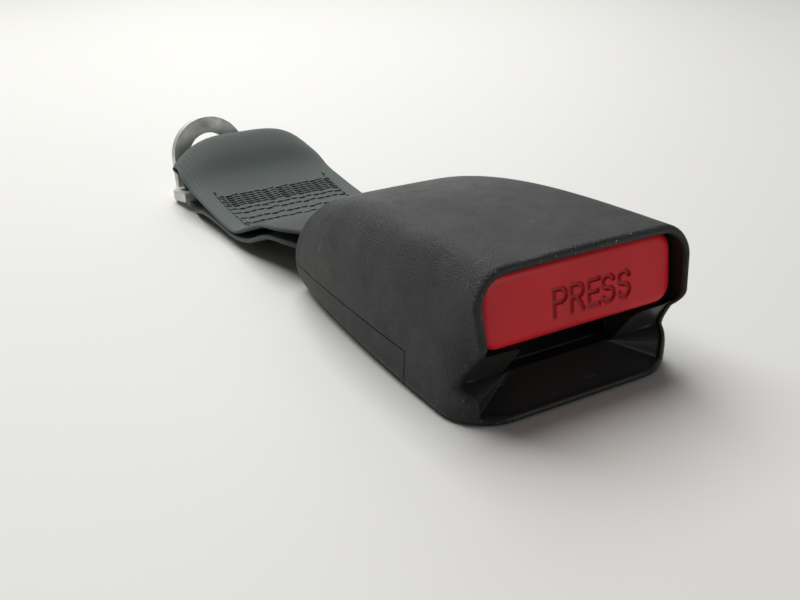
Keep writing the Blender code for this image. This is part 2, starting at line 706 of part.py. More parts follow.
def make_latch():
    """Locking pawl: a flat arm with a downward hook at its front and an eye on the pivot pin."""
    low = LATCH_TOP - LATCH_THICKNESS
    hook_end = EJECTOR_TOP + FIT_GAP
    latch = add_object("latch", box_mesh("latch", (-LATCH_HALF, LATCH_FRONT, low), (LATCH_HALF, PIVOT_Y, LATCH_TOP)),
                       zinc_steel())
    join(latch, box_mesh("hook", (-HOOK_HALF, LATCH_FRONT, hook_end),
                         (HOOK_HALF, LATCH_FRONT + HOOK_LENGTH, LATCH_TOP - LATCH_THICKNESS * 0.5)))
    join(latch, rod_mesh("eye", "X", (0.0, PIVOT_Y, PIVOT_Z), LATCH_EYE_RADIUS, -LATCH_HALF - 0.002, LATCH_HALF + 0.002))
    cut(latch, rod_mesh("eye_hole", "X", (0.0, PIVOT_Y, PIVOT_Z), PIN_RADIUS + PIN_CLEARANCE,
                        -LATCH_HALF * 2, LATCH_HALF * 2))
    return latch


EJECTOR_BOTTOM = FRAME_BOTTOM + STEEL + FIT_GAP
EJECTOR_TOP = EJECTOR_BOTTOM + EJECTOR_HEIGHT


def make_ejector():
    """Plastic slider that pushes the tongue out, with a ramp that carries the latch's hook."""
    front, back = EJECTOR_FRONT, EJECTOR_FRONT + EJECTOR_LENGTH
    outline = [(front, EJECTOR_BOTTOM), (back, EJECTOR_BOTTOM), (back, EJECTOR_TOP),
               (front + EJECTOR_RAMP, EJECTOR_TOP), (front, EJECTOR_BOTTOM + EJECTOR_NOSE)]
    return add_object("ejector", extruded("ejector", outline, -EJECTOR_HALF, EJECTOR_HALF), white_plastic())


def make_pivot():
    end = FRAME_HALF + 0.0022
    add_object("latch_pin", rod_mesh("latch_pin", "X", (0.0, PIVOT_Y, PIVOT_Z), PIN_RADIUS, -end, end), spring_steel())
    for side, name in ((-1, "pin_clip_left"), (1, "pin_clip_right")):
        near = side * (FRAME_HALF + FIT_GAP)
        far = side * (FRAME_HALF + FIT_GAP + 0.0008)
        clip = add_object(name, rod_mesh(name, "X", (0.0, PIVOT_Y, PIVOT_Z), PIN_RADIUS + 0.0016,
                                         min(near, far), max(near, far)), spring_steel())
        cut(clip, rod_mesh("clip_hole", "X", (0.0, PIVOT_Y, PIVOT_Z), PIN_RADIUS + PIN_CLEARANCE,
                           min(near, far) - 0.002, max(near, far) + 0.002))


def make_springs():
    wire = BUTTON_SPRING_WIRE / 2
    for side, name in ((-1, "button_spring_left"), (1, "button_spring_right")):
        tube(name, coil("Y", (side * BUTTON_SPRING_X, 0.0, BUTTON_SPRING_Z), BUTTON_SPRING_RADIUS,
                        BUTTON_SPRING_FRONT + wire, BUTTON_SEAT_Y - FIT_GAP - wire, BUTTON_SPRING_TURNS), wire,
             spring_steel())
    wire = EJECTOR_SPRING_WIRE / 2
    middle = FRAME_BOTTOM + STEEL + FIT_GAP + EJECTOR_SPRING_RADIUS + wire
    tube("ejector_spring", coil("Y", (0.0, 0.0, middle), EJECTOR_SPRING_RADIUS,
                                EJECTOR_FRONT + EJECTOR_LENGTH + FIT_GAP + wire, frame_flat_end() - STEEL * 0.4 - wire,
                                EJECTOR_SPRING_TURNS), wire, spring_steel())
    wire = LATCH_SPRING_WIRE / 2
    tube("latch_spring", coil("Z", (0.0, LATCH_SPRING_Y, 0.0), LATCH_SPRING_RADIUS, LATCH_TOP + FIT_GAP + wire,
                              LATCH_SPRING_TOP - FIT_GAP - wire, LATCH_SPRING_TURNS), wire, spring_steel())


def make_pad():
    low = WALL + FIT_GAP
    front_rib, rear_rib = frame_ribs()
    start, end = front_rib + RIB_THICKNESS + PAD_GAP, rear_rib - PAD_GAP
    add_object("noise_pad", box_mesh("noise_pad", (-0.009, start, low), (0.009, end, FRAME_BOTTOM - FIT_GAP)), felt())


def curve_through(points, per_span):
    """Closed Catmull-Rom curve through tuples of any length."""
    points = np.array(points)
    count = len(points)
    curve = []
    for i in range(count):
        p0, p1, p2, p3 = (points[(i + k) % count] for k in (-1, 0, 1, 2))
        for step in range(per_span):
            t = step / per_span
            curve.append(0.5 * (2 * p1 + (p2 - p0) * t + (2 * p0 - 5 * p1 + 4 * p2 - p3) * t * t
                                + (3 * p1 - p0 - 3 * p2 + p3) * t ** 3))
    return np.array(curve)


def strap_route():
    """The webbing's middle surface as a closed route: y, z, half width and how far its edges hang."""
    bar_mid = FRAME_BOTTOM + FRAME_RISE + STEEL / 2
    turn = STEEL / 2 + WEB_THICKNESS / 2 + 0.0005
    bar_front = frame_end() - STRAP_BAR_LENGTH
    inner, full, outer = WEB_HALF_IN_BUCKLE, WEB_HALF, WEB_HALF_AT_ANCHOR
    droop = LOOP_DROOP
    slotted = PLATE_SLOT_HALF - 0.0006
    under = ANCHOR_BAR_Z - PLATE_THICKNESS / 2 - WEB_THICKNESS / 2 - 0.0007
    bar = ANCHOR_BAR_Y
    apart = WEB_THICKNESS
    return [
        (bar_front - turn + 0.0006, bar_mid, inner, 0.0),
        (bar_front + 0.0010, bar_mid + turn, inner, 0.0),
        (HOUSING_LENGTH + 0.0001, bar_mid + turn + 0.0001, inner, 0.0003),
        (0.0930, 0.0128, 0.0215, 0.0005),
        (0.1030, 0.0110, 0.0222, 0.0004),
        (0.1110, 0.0077, 0.0227, 0.0002),
        (0.1200, 0.0030 + apart, full, 0.0),
        (0.1310, 0.0036 + apart, full, 0.0),
        (0.1420, 0.0056 + apart, full, droop * 0.05),
        (0.1500, 0.0104, full, droop * 0.34),
        (0.1570, 0.0162, full, droop * 0.80),
        (0.1630, 0.0191, 0.0220, droop),
        (0.1675, 0.0168, outer, droop * 0.80),
        (0.1682, 0.0118, outer, droop * 0.30),
        (0.1664, 0.0074, slotted, 0.0),
        (bar + 0.0053, 0.0046, slotted, 0.0),
        (bar + 0.0036, 0.0014, slotted, 0.0),
        (bar, under, slotted, 0.0),
        (bar - 0.0080, under + 0.0002, 0.0218, 0.0),
        (0.1420, 0.0033, full, 0.0),
        (0.1310, 0.0036 - apart * 0.2, full, 0.0),
        (0.1200, 0.0030 - apart * 0.2, full, 0.0),
        (0.1110, 0.0040, 0.0227, 0.0),
        (0.1010, 0.0080, 0.0220, 0.0),
        (0.0910, 0.0094, 0.0212, 0.0),
        (HOUSING_LENGTH + 0.0001, bar_mid - turn - 0.0001, inner, 0.0),
        (bar_front + 0.0010, bar_mid - turn, inner, 0.0),
    ]


def strap_mesh(name, across=10, per_span=3):
    """One closed loop of webbing: a band of even thickness whose two layers meet where they are sewn."""
    route = curve_through(strap_route(), per_span)
    ahead = np.roll(route, -1, 0)[:, :2] - np.roll(route, 1, 0)[:, :2]
    ahead /= np.linalg.norm(ahead, axis=1, keepdims=True)
    normal = np.stack([-ahead[:, 1], ahead[:, 0]], axis=1)
    work = bmesh.new()
    rows = []
    for (y, z, half, hang), (ny, nz) in zip(route, normal):
        row = []
        for side in (1, -1):
            offset = side * WEB_THICKNESS / 2
            for j in range(across + 1):
                u = (2 * j / across - 1) * side
                drop = hang * abs(u) ** 3.7
                row.append(work.verts.new((half * u, y + ny * offset, z + nz * offset - drop)))
        rows.append(row)
    for a, b in zip(rows, rows[1:] + rows[:1]):
        for i in range(len(a)):
            j = (i + 1) % len(a)
            work.faces.new((a[i], a[j], b[j], b[i]))
    return mesh_from(work, name)


def make_strap():
    strap = add_object("webbing_strap", strap_mesh("webbing_strap"), grey_webbing())
    # The sewn stretch holds both layers together as one thickness
    middle = box_mesh("sewn_core", (-WEB_HALF * 0.98, 0.1195, 0.0032), (WEB_HALF * 0.98, 0.1325, 0.0044))
    join(strap, middle)
    return strap


def make_stitching():
    """One run of sewing thread that goes back and forth over the sewn stretch, just above the top layer."""
    route = curve_through(strap_route(), 3)
    upper = route[:int(np.argmax(route[:, 1]))]
    rise = WEB_THICKNESS / 2 + FIT_GAP * 0.7 + THREAD_RADIUS
    points = []
    for row in range(SEWN_ROWS):
        y = mix(SEWN_START, SEWN_END, row / (SEWN_ROWS - 1))
        height = float(np.interp(y, upper[:, 0], upper[:, 1])) + rise
        way = 1 if row % 2 else -1
        points += [(way * SEWN_HALF * share, y, height) for share in (1.0, 0.0, -1.0)]
    tube("stitching", points, THREAD_RADIUS, felt(), 1)


def plate_length():
    """From the bar's axis to the back of the ring arm."""
    return PLATE_BAR / 2 + PLATE_SLOT + PLATE_HEEL


def make_anchor():
    """Pressed steel plate: a slotted foot inside the strap's loop and a ring arm bent up at its end."""
    t = PLATE_THICKNESS
    near, far = -PLATE_BAR / 2, plate_length()
    work = bmesh.new()
    flare = 0.0065
    foot = [(-PLATE_HALF, near), (PLATE_HALF, near), (PLATE_HALF, near + PLATE_BAR + PLATE_SLOT),
            (RING_OFFSET + RING_RADIUS + flare, far), (RING_OFFSET - RING_RADIUS, far),
            (-PLATE_HALF, near + PLATE_BAR + PLATE_SLOT)]
    bottom = [work.verts.new((x, y, -t / 2)) for x, y in foot]
    top = [work.verts.new((x, y, t / 2)) for x, y in foot]
    work.faces.new(bottom[::-1])
    work.faces.new(top)
    for i in range(len(foot)):
        j = (i + 1) % len(foot)
        work.faces.new((bottom[i], bottom[j], top[j], top[i]))
    plate = add_object("anchor_plate", mesh_from(work, "anchor_plate"), zinc_steel())
    cut(plate, box_mesh("slot", (-PLATE_SLOT_HALF, PLATE_BAR / 2, -t), (PLATE_SLOT_HALF, PLATE_BAR / 2 + PLATE_SLOT, t)))
    # The bar's lower edges are eased so that the plate can swing in the strap
    for edge, half in ((near, PLATE_HALF * 1.1), (-near, PLATE_SLOT_HALF)):
        way = math.copysign(BAR_CHAMFER, edge)
        ease = [(edge - way, -t / 2), (edge + way, -t / 2 + 2 * BAR_CHAMFER), (edge + way, -t / 2)]
        cut(plate, extruded("ease", ease, -half, half))
    ring = []
    for i in range(25):
        a = math.pi * i / 24
        ring.append((RING_OFFSET + RING_RADIUS * math.cos(a), RING_HEIGHT + RING_RADIUS * math.sin(a)))
    arm = ring + [(RING_OFFSET - RING_RADIUS, -t / 2), (RING_OFFSET + RING_RADIUS + flare * 0.6, -t / 2),
                  (RING_OFFSET + RING_RADIUS + flare * 0.3, t)]
    work = bmesh.new()
    front = [work.verts.new((x, far - t, z)) for x, z in arm]
    back = [work.verts.new((x, far, z)) for x, z in arm]
    work.faces.new(front)
    work.faces.new(back[::-1])
    for i in range(len(arm)):
        j = (i + 1) % len(arm)
        work.faces.new((front[j], front[i], back[i], back[j]))
    join(plate, mesh_from(work, "ring_arm"))
    cut(plate, rod_mesh("bolt_hole", "Y", (RING_OFFSET, 0.0, RING_HEIGHT), BOLT_HOLE_RADIUS, far - 2 * t, far + t, 28))
    # The outside of the bend is round
    corner = rod_mesh("bend", "X", (0.0, far - PLATE_BEND_RADIUS, -t / 2 + PLATE_BEND_RADIUS), PLATE_BEND_RADIUS,
                      -PLATE_HALF * 2, PLATE_HALF * 2, 24)
    block = add_object("bend_block", box_mesh("bend_block", (-PLATE_HALF * 1.5, far - PLATE_BEND_RADIUS, -t),
                                              (PLATE_HALF * 1.5, far + t, -t / 2 + PLATE_BEND_RADIUS)), zinc_steel())
    cut(block, corner)
    shape = block.data.copy()
    bpy.data.objects.remove(block)
    cut(plate, shape)
    place = Matrix.Translation((0.0, ANCHOR_BAR_Y, ANCHOR_BAR_Z)) @ Matrix.Rotation(PLATE_TILT, 4, "X")
    plate.data.transform(place)
    return plate


def place_all():
    """Moves every piece to the object's own frame, with moving pieces turned about their joint's axis."""
    axes = {
        "release_button": (0.0, BUTTON_RECESS, BUTTON_BOTTOM),
        "lock_pin": (0.0, LOCK_PIN_Y, LOCK_PIN_Z),
        "lock_slider": (0.0, LOCK_PIN_Y, LOCK_PIN_Z),
        "ejector": (0.0, EJECTOR_FRONT, EJECTOR_BOTTOM),
        "latch": (0.0, PIVOT_Y, PIVOT_Z),
        "anchor_plate": (0.0, ANCHOR_BAR_Y, ANCHOR_BAR_Z),
    }
    root = bpy.data.objects.new("buckle", None)
    PARTS.objects.link(root)
    root.location = (0.0, FRONT_Y, 0.0)
    for thing in [o for o in PARTS.objects if o.type == "MESH"]:
        origin = Vector(axes.get(thing.name, (0.0, 0.0, 0.0)))
        thing.data.transform(Matrix.Translation(-origin))
        thing.location = origin
        thing.parent = root
        thing.data.set_sharp_from_angle(angle=math.radians(32))


def main():
    make_covers()
    make_button()
    make_lock_parts()
    make_frame()
    make_guide()
    make_latch()
    make_ejector()
    make_pivot()
    make_springs()
    make_pad()
    make_strap()
    make_stitching()
    make_anchor()
    place_all()


for old in list(bpy.data.objects):
    bpy.data.objects.remove(old)
PARTS = bpy.data.collections.new("seat_belt_buckle")
CUTTERS = bpy.data.collections.new("cutters")
for collection in (PARTS, CUTTERS):
    bpy.context.scene.collection.children.link(collection)
main()
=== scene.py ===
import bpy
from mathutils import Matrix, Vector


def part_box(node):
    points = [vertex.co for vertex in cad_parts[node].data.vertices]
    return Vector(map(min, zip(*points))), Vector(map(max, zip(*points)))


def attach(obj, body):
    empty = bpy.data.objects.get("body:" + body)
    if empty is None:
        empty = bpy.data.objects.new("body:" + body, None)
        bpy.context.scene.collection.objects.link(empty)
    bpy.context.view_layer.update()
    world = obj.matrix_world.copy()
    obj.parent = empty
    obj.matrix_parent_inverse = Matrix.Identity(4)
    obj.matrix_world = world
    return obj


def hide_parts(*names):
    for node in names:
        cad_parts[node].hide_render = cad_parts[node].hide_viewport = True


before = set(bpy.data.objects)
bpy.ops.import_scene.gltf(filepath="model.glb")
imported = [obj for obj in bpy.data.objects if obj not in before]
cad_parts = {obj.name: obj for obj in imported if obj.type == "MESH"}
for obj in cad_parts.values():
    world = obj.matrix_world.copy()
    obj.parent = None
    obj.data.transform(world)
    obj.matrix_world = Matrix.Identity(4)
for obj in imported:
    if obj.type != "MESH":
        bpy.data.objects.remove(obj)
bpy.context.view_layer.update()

import math

import bmesh
import bpy
import numpy as np
from bpy.props import FloatProperty, FloatVectorProperty, PointerProperty
from mathutils import Matrix, Vector
from mathutils.kdtree import KDTree

bl_info = {
    "name": "Seat belt buckle",
    "version": (1, 0, 0),
    "blender": (4, 5, 0),
    "location": "3D View > Sidebar > Buckle",
    "description": "Dresses the packed seat belt buckle in moulded, woven and plated finishes",
    "category": "Object",
}

# Sizes shared with the solids, in metres. Depths are measured from the middle of the bezel rim.
FRONT_Y = -0.0875
HOUSING_LENGTH = 0.0819
FRONT_HALF_BOTTOM, FRONT_HALF_TOP = 0.0275, 0.0258
REAR_HALF_BOTTOM, REAR_HALF_TOP = 0.0212, 0.0271
FRONT_HEIGHT, REAR_HEIGHT = 0.0316, 0.0212
FRONT_TOP_RADIUS, REAR_TOP_RADIUS = 0.0068, 0.0128
FRONT_BOTTOM_RADIUS, REAR_BOTTOM_RADIUS = 0.0012, 0.0055
REAR_CURL_LENGTH, REAR_CURL_SCALE, REAR_CURL_HEIGHT = 0.0170, 0.955, 0.0045
TOP_CROWN = 0.0004
WALL = 0.0018
FACE_LEAN, FRONT_REACH = 0.12, 0.0006
RIM_RADIUS, RIM_INNER_RADIUS = 0.0011, 0.0007
PARTING_HEIGHT, PARTING_START = 0.0084, 0.0242
FIT_GAP = 0.0003
LIP_FRONT, LIP_CORNER_RADIUS, LIP_CORNER_DEPTH, LIP_TOP = 0.0014, 0.0110, 0.0042, 0.0029
LIP_FLAT_HALF = FRONT_HALF_BOTTOM - LIP_CORNER_RADIUS
NOTCH_DEPTH, NOTCH_HEIGHT, BEZEL_FOOT = 0.0073, 0.0066, 0.0165
FLOOR_HEIGHT, FLOOR_DEPTH, SLOT_HALF = 0.0065, 0.0094, 0.0138
SHELF_HEIGHT, SHELF_FRONT = 0.0144, 0.0034
OPENING_HALF, OPENING_TOP, OPENING_RADIUS = 0.0241, 0.0303, 0.0050
OPENING_DEPTH, OPENING_END, MOUTH_DEPTH = 0.0050, 0.0186, 0.0120
SHELF_ROUNDING = 0.12
BUTTON_HALF, BUTTON_BOTTOM, BUTTON_TOP = 0.0235, 0.0149, 0.0299
BUTTON_RECESS, BUTTON_LENGTH, BUTTON_GUIDED, BUTTON_STEP = 0.0031, 0.0170, 0.0090, 0.0015
BUTTON_RADIUS, BUTTON_WALL = 0.0042, 0.0020
WEB_THICKNESS = 0.0012
FRAME_BOTTOM, FRAME_RISE, STEEL = 0.0040, 0.0062, 0.0025
FRAME_END = HOUSING_LENGTH - 0.0055
STRAP_BAR_LENGTH = 0.0050
ANCHOR_BAR_Y, ANCHOR_BAR_Z = 0.1583, 0.0036
PLATE_THICKNESS, PLATE_SLOT_HALF = 0.0028, 0.0205
# Places along the strap where its painted shade is full and where it fades out
STRAP_DEEP_SHADE_TO, STRAP_UNSHADED_FROM = 0.004, 0.024

# Ribs, frame seat, lugs and spring boss inside the covers
RIB_STARTS, RIB_HALF, RIB_THICKNESS = (0.0284, 0.0538), 0.0140, 0.0018
SEAT_HALF, SEAT_START, SEAT_END = 0.0120, 0.0150, 0.0200
LUG_INNER, LUG_START, LUG_END, LUG_LOW, LUG_TOP = 0.0142, 0.0370, 0.0395, 0.0185, 0.0245
BOSS_Y, BOSS_RADIUS, BOSS_LOW = 0.0418, 0.0024, 0.0247

# The button's arms with the lock pin's hole, and its spring seats
PIN_Y, PIN_Z, PIN_HOLE = 0.0300, 0.0166, 0.0017
ARM_INNER, ARM_OUTER, ARM_HEIGHT, ARM_REACH = 0.0110, 0.0131, 0.0040, 0.0030
SPRING_SEAT_INNER, SPRING_SEAT_FRONT, SPRING_SEAT_BACK = 0.0140, 0.0050, 0.0030
PAD_EDGE = 0.0005

# How many segments each stretch of the housing's half ring has, from the mouth's floor to the top
RING_SEGMENTS = {"floor": 18, "corner": 6, "lip": 4, "fold": 12,
                 "notch": 28, "cheek": 10, "shoulder": 14, "roof": 16}
LOW_ARC, TOP_ARC = 16, 40
# Where the rows behind the front edge lie, as shares of the way back to the full section
MOUTH_MARGIN = 0.004
EDGE_SHARES = (0.86, 0.75, 0.63, 0.52, 0.42, 0.34, 0.26, 0.19, 0.13, 0.08, 0.04)
SMOOTH_ANGLE = math.radians(32)


def linear(code):
    """Linear colour of an sRGB hex value."""
    parts = [int(code[i:i + 2], 16) / 255 for i in (1, 3, 5)]
    return tuple(c / 12.92 if c <= 0.04045 else ((c + 0.055) / 1.055) ** 2.4 for c in parts)


def colour(name, description, code):
    return FloatVectorProperty(name=name, description=description, subtype="COLOR", size=3,
                               min=0.0, max=1.0, default=linear(code))


def length(name, description, default):
    return FloatProperty(name=name, description=description, default=default, min=0.0, unit="LENGTH",
                         precision=5)


def power(name, description, default):
    return FloatProperty(name=name, description=description, default=default, min=0.0, subtype="POWER")


class BuckleLooks(bpy.types.PropertyGroup):
    """Colours and small sizes of the buckle's finishes."""

    cover_colour: colour("Cover", "Colour of the moulded covers", "#242726")
    smooth_colour: colour("Mouth", "Colour of the smooth plastic in the mouth", "#232423")
    scuff_colour: colour("Scuffs", "Colour of scuffed plastic", "#8f9291")
    grain_width: length("Grain width", "Width of one cell of the moulded grain", 0.0003)
    grain_depth: length("Grain depth", "Height of the moulded grain", 0.00026)
    button_colour: colour("Button", "Colour of the release button", "#d41b27")
    button_edge: length("Button edge", "Rounding of the button's edges", 0.0020)
    letter_depth: length("Letter depth", "Depth of the engraved word", 0.00048)
    letter_stroke: length("Letter stroke", "Width of the engraved strokes", 0.00095)
    webbing_colour: colour("Webbing", "Colour of the strap's yarn", "#4a524f")
    rib_spacing: length("Rib spacing", "Distance between the webbing's lengthwise ribs", 0.0012)
    thread_colour: colour("Thread", "Colour of the sewing thread", "#3b4341")
    thread_radius: length("Thread radius", "Radius of the sewing thread", 0.0003)
    stitch_length: length("Stitch length", "Distance between two stitches", 0.0024)
    steel_edge: length("Plate edge", "Rounding of the anchor plate's edges", 0.0004)


class StageLooks(bpy.types.PropertyGroup):
    """Floor and light of the studio."""

    floor_colour: colour("Floor", "Colour of the floor", "#d9d8d4")
    key_power: power("Key light", "Power of the overhead light", 10.5)
    back_power: power("Back light", "Power of the light behind", 2.6)
    fill_power: power("Fill light", "Power of the front light", 1.15)


def looks():
    return bpy.context.scene.buckle_looks


def node(tree, kind, inputs=None, **settings):
    """Adds a node, sets its properties, and sets or links its inputs."""
    made = tree.nodes.new(kind)
    for key, value in settings.items():
        setattr(made, key, value)
    for key, value in (inputs or {}).items():
        if isinstance(value, bpy.types.NodeSocket):
            tree.links.new(value, made.inputs[key])
        else:
            made.inputs[key].default_value = value
    return made


def finish_named(name, base, roughness, **values):
    """A new material with its shader's own constants."""
    skin = bpy.data.materials.new(name)
    skin.use_nodes = True
    shader = skin.node_tree.nodes["Principled BSDF"]
    shader.inputs["Base Color"].default_value = (*base, 1.0)
    shader.inputs["Roughness"].default_value = roughness
    for key, value in values.items():
        shader.inputs[key.replace("_", " ")].default_value = value
    return skin, skin.node_tree, shader


def math_node(tree, operation, *values):
    return node(tree, "ShaderNodeMath", dict(enumerate(values)), operation=operation).outputs[0]


def ramp(tree, value, low, high, to_low=0.0, to_high=1.0):
    return node(tree, "ShaderNodeMapRange", {0: value, 1: low, 2: high, 3: to_low, 4: to_high}).outputs[0]


def mix_colour(tree, share, first, second):
    made = node(tree, "ShaderNodeMix", {0: share}, data_type="RGBA")
    for socket, value in ((made.inputs[6], first), (made.inputs[7], second)):
        if isinstance(value, bpy.types.NodeSocket):
            tree.links.new(value, socket)
        else:
            socket.default_value = (*value, 1.0)
    return made.outputs[2]


def noise(tree, place, width, detail=2.0, roughness=0.5):
    made = node(tree, "ShaderNodeTexNoise", {"Vector": place, "Scale": 1 / width, "Detail": detail,
                                             "Roughness": roughness})
    return made.outputs[0]


def mottle(tree, place, width, detail=3.0, to_low=0.0, to_high=1.0, roughness=0.5):
    """Soft clouds, spread between two values."""
    return ramp(tree, noise(tree, place, width, detail, roughness), 0.3, 0.7, to_low, to_high)


def stretched(tree, place, scale, turn=(0.0, 0.0, 0.0)):
    return node(tree, "ShaderNodeMapping", {"Vector": place, "Scale": scale, "Rotation": turn}).outputs[0]


def bump(tree, shader, height, depth, strength=1.0):
    made = node(tree, "ShaderNodeBump", {"Height": height, "Distance": depth, "Strength": strength})
    feed(shader, "Normal", made.outputs[0])


def feed(shader, socket, value):
    shader.id_data.links.new(value, shader.inputs[socket])


def object_place(tree):
    return node(tree, "ShaderNodeTexCoord").outputs["Object"]


def moulded_abs():
    """ABS moulded against a spark-eroded tool: a fine grain that glints, with pale scuffs along the edges."""
    look = looks()
    skin, tree, shader = finish_named("moulded_abs", look.cover_colour, 0.5, Specular_IOR_Level=0.25)
    place = object_place(tree)
    grain = node(tree, "ShaderNodeAttribute", attribute_name="grain").outputs["Fac"]
    wear = node(tree, "ShaderNodeAttribute", attribute_name="wear").outputs["Fac"]
    voronoi = node(tree, "ShaderNodeTexVoronoi", {"Vector": place, "Scale": 1 / look.grain_width})
    cells = voronoi.outputs["Distance"]
    fine = noise(tree, place, look.grain_width * 0.6, 1.0)
    height = math_node(tree, "MULTIPLY", math_node(tree, "ADD", cells, fine), grain)
    bump(tree, shader, height, look.grain_depth)
    cloudy = mottle(tree, place, 0.012, 4.0, 0.0, 0.10, roughness=0.6)
    tone = mix_colour(tree, cloudy, tuple(look.cover_colour), tuple(look.scuff_colour))
    specks = ramp(tree, noise(tree, place, 0.0007, 4.0, 0.7), 0.62, 0.70)
    rubbed = math_node(tree, "MULTIPLY", specks, wear)
    streaks = noise(tree, stretched(tree, place, (60.0, 900.0, 200.0), (0.0, 0.0, 0.5)), 1.0, 3.0, 0.6)
    patches = ramp(tree, noise(tree, place, 0.02), 0.5, 0.6)
    line = math_node(tree, "MULTIPLY", ramp(tree, streaks, 0.66, 0.70), patches)
    scuffed = math_node(tree, "MAXIMUM", rubbed, math_node(tree, "MULTIPLY", line, 0.5))
    grained = mix_colour(tree, grain, tuple(look.smooth_colour), tone)
    feed(shader, "Base Color", mix_colour(tree, scuffed, grained, tuple(look.scuff_colour)))
    feed(shader, "Roughness", mottle(tree, place, 0.004, 3.0, 0.36, 0.46))
    return skin


def satin_acetal():
    """Acetal moulded in red: satin, with a faint mottle in its highlights and painted shade in its engraved
    letters.
    """
    look = looks()
    skin, tree, shader = finish_named("satin_acetal", look.button_colour, 0.4, Specular_IOR_Level=0.25)
    place = object_place(tree)
    bump(tree, shader, noise(tree, place, 0.0005, 2.0), 0.000012)
    feed(shader, "Roughness", mottle(tree, place, 0.003, 3.0, 0.30, 0.40))
    tone = mottle(tree, place, 0.01)
    dark = tuple(c * 0.88 for c in look.button_colour)
    red = mix_colour(tree, tone, dark, tuple(look.button_colour))
    # Painted shade: the engraved letters are darkened by their depth
    sunk = node(tree, "ShaderNodeAttribute", attribute_name="sunk").outputs["Fac"]
    painted_shade = tuple(c * 0.3 for c in look.button_colour)
    letter_shade = math_node(tree, "MULTIPLY", sunk, 0.6)
    feed(shader, "Base Color", mix_colour(tree, letter_shade, red, painted_shade))
    return skin


def polyester_webbing():
    """Polyester webbing: ribs of twilled yarn, dull with a soft sheen, and darkened by painted shade near the
    cover.
    """
    look = looks()
    skin, tree, shader = finish_named("polyester_webbing", look.webbing_colour, 0.8,
                                      Sheen_Weight=0.12, Sheen_Roughness=0.5)
    place = node(tree, "ShaderNodeUVMap", uv_map="weave").outputs[0]
    split = node(tree, "ShaderNodeSeparateXYZ", {0: place})
    across, along = split.outputs[0], split.outputs[1]
    turns = 2 * math.pi / look.rib_spacing
    # The picks are drawn 0.8 mm apart, coarser than real yarn, so that the twill shows
    zigzag = math_node(tree, "PINGPONG", across, look.rib_spacing)
    lean = math_node(tree, "ADD", math_node(tree, "MULTIPLY", along, turns * 1.5),
                     math_node(tree, "MULTIPLY", zigzag, turns * 1.6))
    picks = math_node(tree, "SINE", lean)
    rounds = math_node(tree, "SINE", math_node(tree, "MULTIPLY", across, turns / 2))
    ribs = math_node(tree, "ABSOLUTE", rounds)
    height = math_node(tree, "ADD", math_node(tree, "MULTIPLY", picks, 0.35), ribs)
    bump(tree, shader, height, 0.00005)
    shade = ramp(tree, height, -0.3, 1.3)
    cloud = noise(tree, object_place(tree), 0.012, 3.0)
    dark = tuple(c * 0.80 for c in look.webbing_colour)
    light = tuple(min(c * 1.16, 1.0) for c in look.webbing_colour)
    clouded = math_node(tree, "MULTIPLY", shade, ramp(tree, cloud, 0.2, 0.8, 0.75, 1.0))
    tone = mix_colour(tree, clouded, dark, light)
    # Painted shade: the webbing darkens towards the cover, where the buckle shades it
    depth = node(tree, "ShaderNodeSeparateXYZ", {0: object_place(tree)}).outputs[1]
    painted_shade = ramp(tree, depth, STRAP_DEEP_SHADE_TO, STRAP_UNSHADED_FROM, 0.65, 0.0)
    shadow_tone = tuple(c * 0.2 for c in look.webbing_colour)
    feed(shader, "Base Color", mix_colour(tree, painted_shade, tone, shadow_tone))
    return skin


def bonded_thread():
    """Bonded nylon thread, twisted: small slanted plies with a little gloss."""
    look = looks()
    skin, tree, shader = finish_named("bonded_thread", look.thread_colour, 0.55, Sheen_Weight=0.15)
    place = object_place(tree)
    ply = node(tree, "ShaderNodeTexWave", {"Vector": stretched(tree, place, (1.0, 1.0, 1.0), (0.0, 0.0, 0.6)),
                                           "Scale": 1 / 0.0006 / math.tau, "Distortion": 1.0}).outputs["Fac"]
    bump(tree, shader, ply, 0.00004)
    dark = tuple(c * 0.6 for c in look.thread_colour)
    feed(shader, "Base Color", mix_colour(tree, ply, dark, tuple(look.thread_colour)))
    return skin


def zinc_plated(name="zinc_plated_steel", tone="#dededa", rough=0.58):
    """Pressed steel with a zinc coat: fine rolled lines under a dulled and slightly cloudy surface."""
    skin, tree, shader = finish_named(name, linear(tone), rough, Metallic=1.0)
    place = object_place(tree)
    rolled = noise(tree, stretched(tree, place, (2500.0, 150.0, 2500.0)), 1.0, 2.0)
    bump(tree, shader, rolled, 0.000006)
    cloud = noise(tree, place, 0.004, 4.0, 0.6)
    feed(shader, "Roughness", ramp(tree, cloud, 0.3, 0.7, rough - 0.06, rough + 0.12))
    dull = tuple(c * 0.72 for c in linear(tone))
    clouded = mix_colour(tree, ramp(tree, cloud, 0.35, 0.75), linear(tone), dull)
    feed(shader, "Base Color", clouded)
    return skin


def drawn_wire():
    """Drawn spring steel: darker, with fine lines along the wire."""
    return zinc_plated("drawn_spring_steel", "#77797a", 0.34)


def dark_acetal():
    """Acetal coloured black: smooth and slightly waxy."""
    skin, tree, shader = finish_named("dark_acetal", linear("#1f2021"), 0.42)
    place = object_place(tree)
    bump(tree, shader, noise(tree, place, 0.0008, 2.0), 0.00001)
    cloud = mottle(tree, place, 0.006)
    tone = mix_colour(tree, cloud, linear("#1a1b1c"), linear("#252627"))
    feed(shader, "Base Color", tone)
    return skin


def needled_felt():
    """Needled felt: matted black fibres, quite dull."""
    skin, tree, shader = finish_named("needled_felt", linear("#1c1d1d"), 0.95, Sheen_Weight=0.4)
    place = object_place(tree)
    fibres = noise(tree, place, 0.0004, 6.0, 0.7)
    bump(tree, shader, fibres, 0.0002)
    tone = mix_colour(tree, fibres, linear("#131414"), linear("#2b2c2c"))
    feed(shader, "Base Color", tone)
    return skin


def smooth(t):
    t = min(max(t, 0.0), 1.0)
    return t * t * (3 - 2 * t)


def mix(a, b, t):
    return a + (b - a) * t


